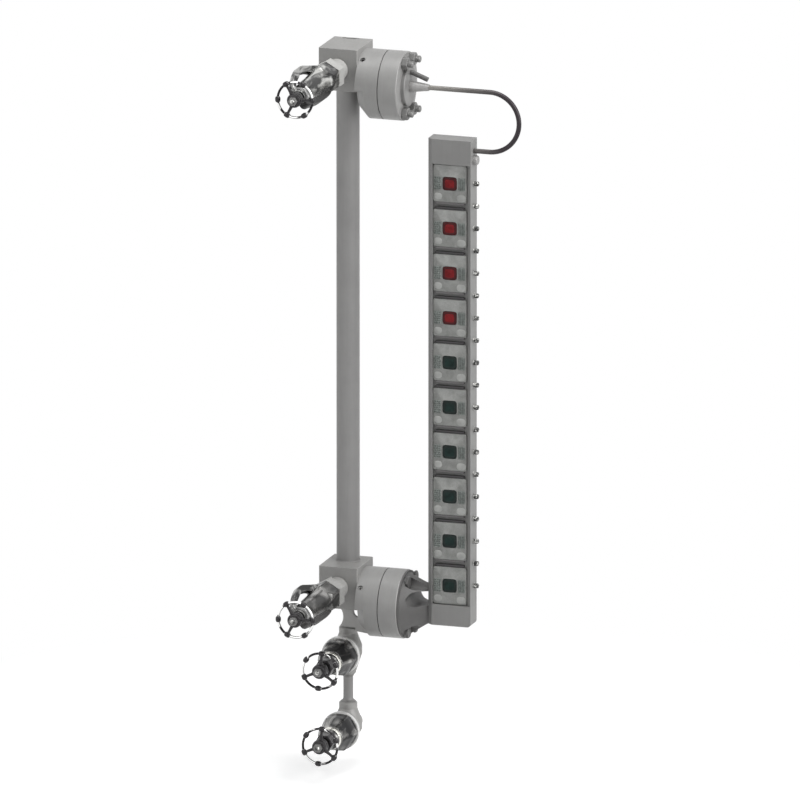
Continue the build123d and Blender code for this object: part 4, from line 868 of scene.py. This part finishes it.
def add_pads():
    """Pads beside the lenses: a studded one on the left and a ribbed one on the right."""
    bm = bmesh.new()
    for height in CELL_HEIGHTS:
        for side in (-1, 1):
            place = cell_frame(height, PANE_THICKNESS) @ Matrix.Translation((side * PAD_FROM_MIDDLE, 0, 0))
            add_pillow(bm, place, *PAD_HALF_SIZE, [(0, 0, 0), (0.4, 0, 0), (0.6, 0.4, 0)], exponent=9.0,
                       steps=40)
            if side > 0:
                for rib in (-4.2, -1.4, 1.4, 4.2):
                    add_pillow(bm, place @ Matrix.Translation((rib, 0, 0.5)), 0.8, 9.6,
                               [(0, 0, 1), (0.3, 0.1, 1), (0.5, 0.4, 1)], exponent=6.0, steps=24)
            else:
                for row in range(6):
                    for column in range(3):
                        shift = 0.5 if row % 2 else -0.5
                        spot = ((column - 1) * 3.6 + shift, (row - 2.5) * 3.5, 0.5)
                        add_pillow(bm, place @ Matrix.Translation(spot), 1.4, 1.2,
                                   [(0, 0, 1), (0.3, 0.2, 1), (0.5, 0.6, 1)], exponent=3.0, steps=12)
    finish_piece("side_pads_fine", bm, ["pad", "pad_relief"], ROOT, ["side_pads"],
                 smooth_angle=40.0)


def add_bars():
    """Grey upper and dark lower bars, rounded along their front edges and ends."""
    bm = bmesh.new()
    for height in [cell + CELL_PITCH / 2 for cell in CELL_HEIGHTS[:-1]]:
        for offset, look in ((4.0, 0), (-3.6, 1)):
            add_pillow(bm, cell_frame(height + offset), BAR_LENGTH / 2, BAR_HALF_HEIGHT,
                       [(0, 0, look), (3.8, 0, look), (4.6, 0.35, look), (5.0, 1.0, look)], exponent=7.0,
                       steps=48)
    finish_piece("separator_bars_fine", bm, ["bar_light", "bar"], ROOT, ["separator_bars"],
                 smooth_angle=40.0)


add_panes()
add_lenses("green_lenses_fine", "green_lenses", ["green_rim", "green"], CELL_HEIGHTS[:-RED_CELLS])
add_lenses("red_lenses_fine", "red_lenses", ["red_rim", "red"], CELL_HEIGHTS[-RED_CELLS:])
add_pads()
add_bars()


# Weld beads

def add_welds():
    """Slim beads at the ends of the column and below the lower block, and fillets on the drain hubs."""
    bm = bmesh.new()
    for height in (BLOCK_TOP, AXIS_HEIGHTS["upper"] + BLOCK_BOTTOM):
        add_torus(bm, frame_at((0, LINE_Y, height), Z_AXIS, X_AXIS), COLUMN_RADIUS + 0.3, 1.5, steps=180,
                  sides=10, ripple=0.12, waves=34)
    add_torus(bm, frame_at((0, LINE_Y, BLOCK_BOTTOM), Z_AXIS, X_AXIS), DROP_PIPE_RADIUS + 0.2, 1.3, steps=120,
              sides=10, ripple=0.14, waves=18)
    first_foot = DRAIN_HEIGHTS["first"] - DRAIN_HUB_HALF_HEIGHT
    second_top = DRAIN_HEIGHTS["second"] + DRAIN_HUB_HALF_HEIGHT
    for height, away, base in ((first_foot, -Z_AXIS, 10.7), (second_top, Z_AXIS, 12.7)):
        inner = DROP_PIPE_RADIUS - 0.4
        fillet = [(0.0, inner), (0.0, base - 0.5), (0.3, base), (0.9, base - 0.3), (1.6, base * 0.5 + 4.7),
                  (2.8, base * 0.25 + 6.5), (4.2, inner + 0.9), (5.6, inner + 0.5), (5.8, inner)]
        add_turned(bm, fillet, frame_at((0, LINE_Y, height), away, X_AXIS), steps=72, closed=True)
    finish_piece("weld_beads", bm, ["weld"], ROOT)


add_welds()


# Camera

AZIMUTH = math.radians(18.0)
ELEVATION = math.radians(14.2)
TARGET = Vector((0.0927, -0.0415, 0.3123))
FIELD_WIDTH = 1.304
LENS = 1500.0
SENSOR = 36.0
towards_camera = Vector((math.sin(AZIMUTH) * math.cos(ELEVATION),
                         -math.cos(AZIMUTH) * math.cos(ELEVATION), math.sin(ELEVATION)))
camera_data = bpy.data.cameras.new("camera")
camera_data.lens = LENS
camera_data.sensor_width = SENSOR
camera_data.clip_end = 300.0
camera = bpy.data.objects.new("camera", camera_data)
bpy.context.scene.collection.objects.link(camera)
camera.location = TARGET + towards_camera * (FIELD_WIDTH * LENS / SENSOR)
camera.rotation_mode = "QUATERNION"
camera.rotation_quaternion = (-towards_camera).to_track_quat("-Z", "Y")
bpy.context.scene.camera = camera


# Light and floor

def maths_node(tree, operation, first, second):
    """A math node's result; the second value is a socket or a number."""
    node = tree.nodes.new("ShaderNodeMath")
    node.operation = operation
    link(tree, first, node.inputs[0])
    if hasattr(second, "is_linked"):
        link(tree, second, node.inputs[1])
    else:
        node.inputs[1].default_value = second
    return node.outputs["Value"]


def seen_rays(tree):
    """1 for rays that should see the white background: camera, glossy and transmission rays."""
    path = tree.nodes.new("ShaderNodeLightPath")
    seen = maths_node(tree, "MAXIMUM", path.outputs["Is Camera Ray"], path.outputs["Is Glossy Ray"])
    return maths_node(tree, "MAXIMUM", seen, path.outputs["Is Transmission Ray"])


def area_lamp(name, location, target, size, power):
    """Soft rectangular lamp that points at a target."""
    data = bpy.data.lights.new(name, "AREA")
    data.shape = "RECTANGLE"
    data.size, data.size_y = size
    data.energy = power
    lamp = bpy.data.objects.new(name, data)
    lamp.location = location
    lamp.rotation_mode = "QUATERNION"
    lamp.rotation_quaternion = (Vector(target) - Vector(location)).to_track_quat("-Z", "Y")
    bpy.context.scene.collection.objects.link(lamp)


def background_node(tree, colour, strength):
    """A background of one colour."""
    node = tree.nodes.new("ShaderNodeBackground")
    node.inputs["Color"].default_value = (*colour, 1.0)
    node.inputs["Strength"].default_value = strength
    return node.outputs["Background"]


def mix_shader(tree, factor, first, second):
    """Mix two shaders by a factor socket."""
    node = tree.nodes.new("ShaderNodeMixShader")
    for socket, source in zip(node.inputs, (factor, first, second)):
        link(tree, source, socket)
    return node.outputs["Shader"]


def set_world():
    """Soft studio light for the object, and plain white where the camera and reflections look past it."""
    world = bpy.data.worlds.new("studio")
    bpy.context.scene.world = world
    world.use_nodes = True
    tree = world.node_tree
    tree.nodes.clear()
    soft = background_node(tree, SOFT_LIGHT, SOFT_STRENGTH)
    white = background_node(tree, WHITE, 1.0)
    output = tree.nodes.new("ShaderNodeOutputWorld")
    link(tree, mix_shader(tree, seen_rays(tree), soft, white), output.inputs["Surface"])


def floor_look():
    """Pale floor with the object's shadow, which turns plain white away from the object."""
    material, tree, shader = new_material("pale_floor")
    shader.inputs["Base Color"].default_value = (0.86, 0.86, 0.86, 1.0)
    shader.inputs["Roughness"].default_value = 0.9
    shader.inputs["Specular IOR Level"].default_value = 0.0
    shader.inputs["Emission Color"].default_value = (*WHITE, 1.0)
    seen = seen_rays(tree)
    link(tree, maths_node(tree, "MULTIPLY", seen, FLOOR_LIFT), shader.inputs["Emission Strength"])
    place = tree.nodes.new("ShaderNodeTexCoord")
    reach = tree.nodes.new("ShaderNodeVectorMath")
    reach.operation = "DISTANCE"
    reach.inputs[1].default_value = FLOOR_MIDDLE
    link(tree, place.outputs["Object"], reach.inputs[0])
    far = map_range(tree, reach.outputs["Value"], *SHADOW_REACH, 0.0, 1.0)
    plain = tree.nodes.new("ShaderNodeEmission")
    plain.inputs["Color"].default_value = (*WHITE, 1.0)
    plain.inputs["Strength"].default_value = 1.0
    blend = mix_shader(tree, maths_node(tree, "MULTIPLY", far, seen), shader.outputs["BSDF"],
                       plain.outputs["Emission"])
    link(tree, blend, tree.nodes["Material Output"].inputs["Surface"])
    return material


def add_floor():
    """Wide floor just below the object."""
    mesh = bpy.data.meshes.new("floor")
    bm = bmesh.new()
    bmesh.ops.create_grid(bm, x_segments=1, y_segments=1, size=FLOOR_SIZE)
    bm.to_mesh(mesh)
    bm.free()
    mesh.materials.append(floor_look())
    floor = bpy.data.objects.new("floor", mesh)
    floor.location = (0, 0, cad_low.z - FLOOR_GAP)
    bpy.context.scene.collection.objects.link(floor)


WHITE = (1.0, 1.0, 1.0)
SOFT_LIGHT = (0.97, 0.98, 1.0)
SOFT_STRENGTH = 0.13
FLOOR_LIFT = 0.52
FLOOR_MIDDLE = (0.1, -0.1, 0.0)
FLOOR_SIZE = 30.0
FLOOR_GAP = 0.03
SHADOW_REACH = (0.35, 1.0)
LIT_POINT = (0.1, -0.05, 0.35)

set_world()
area_lamp("key_right", (3.4, -0.9, 2.0), LIT_POINT, (2.6, 3.2), 106.0)
area_lamp("top", (0.4, -0.3, 3.6), LIT_POINT, (2.2, 2.2), 66.0)
area_lamp("front_fill", (-1.6, -4.4, 1.2), LIT_POINT, (2.0, 2.0), 17.0)
area_lamp("left_strip", (-3.0, -1.4, 0.6), LIT_POINT, (0.5, 2.6), 13.0)
add_floor()

bpy.context.scene.view_settings.view_transform = "Standard"

# Scene update after adding the pieces

bpy.context.view_layer.update()
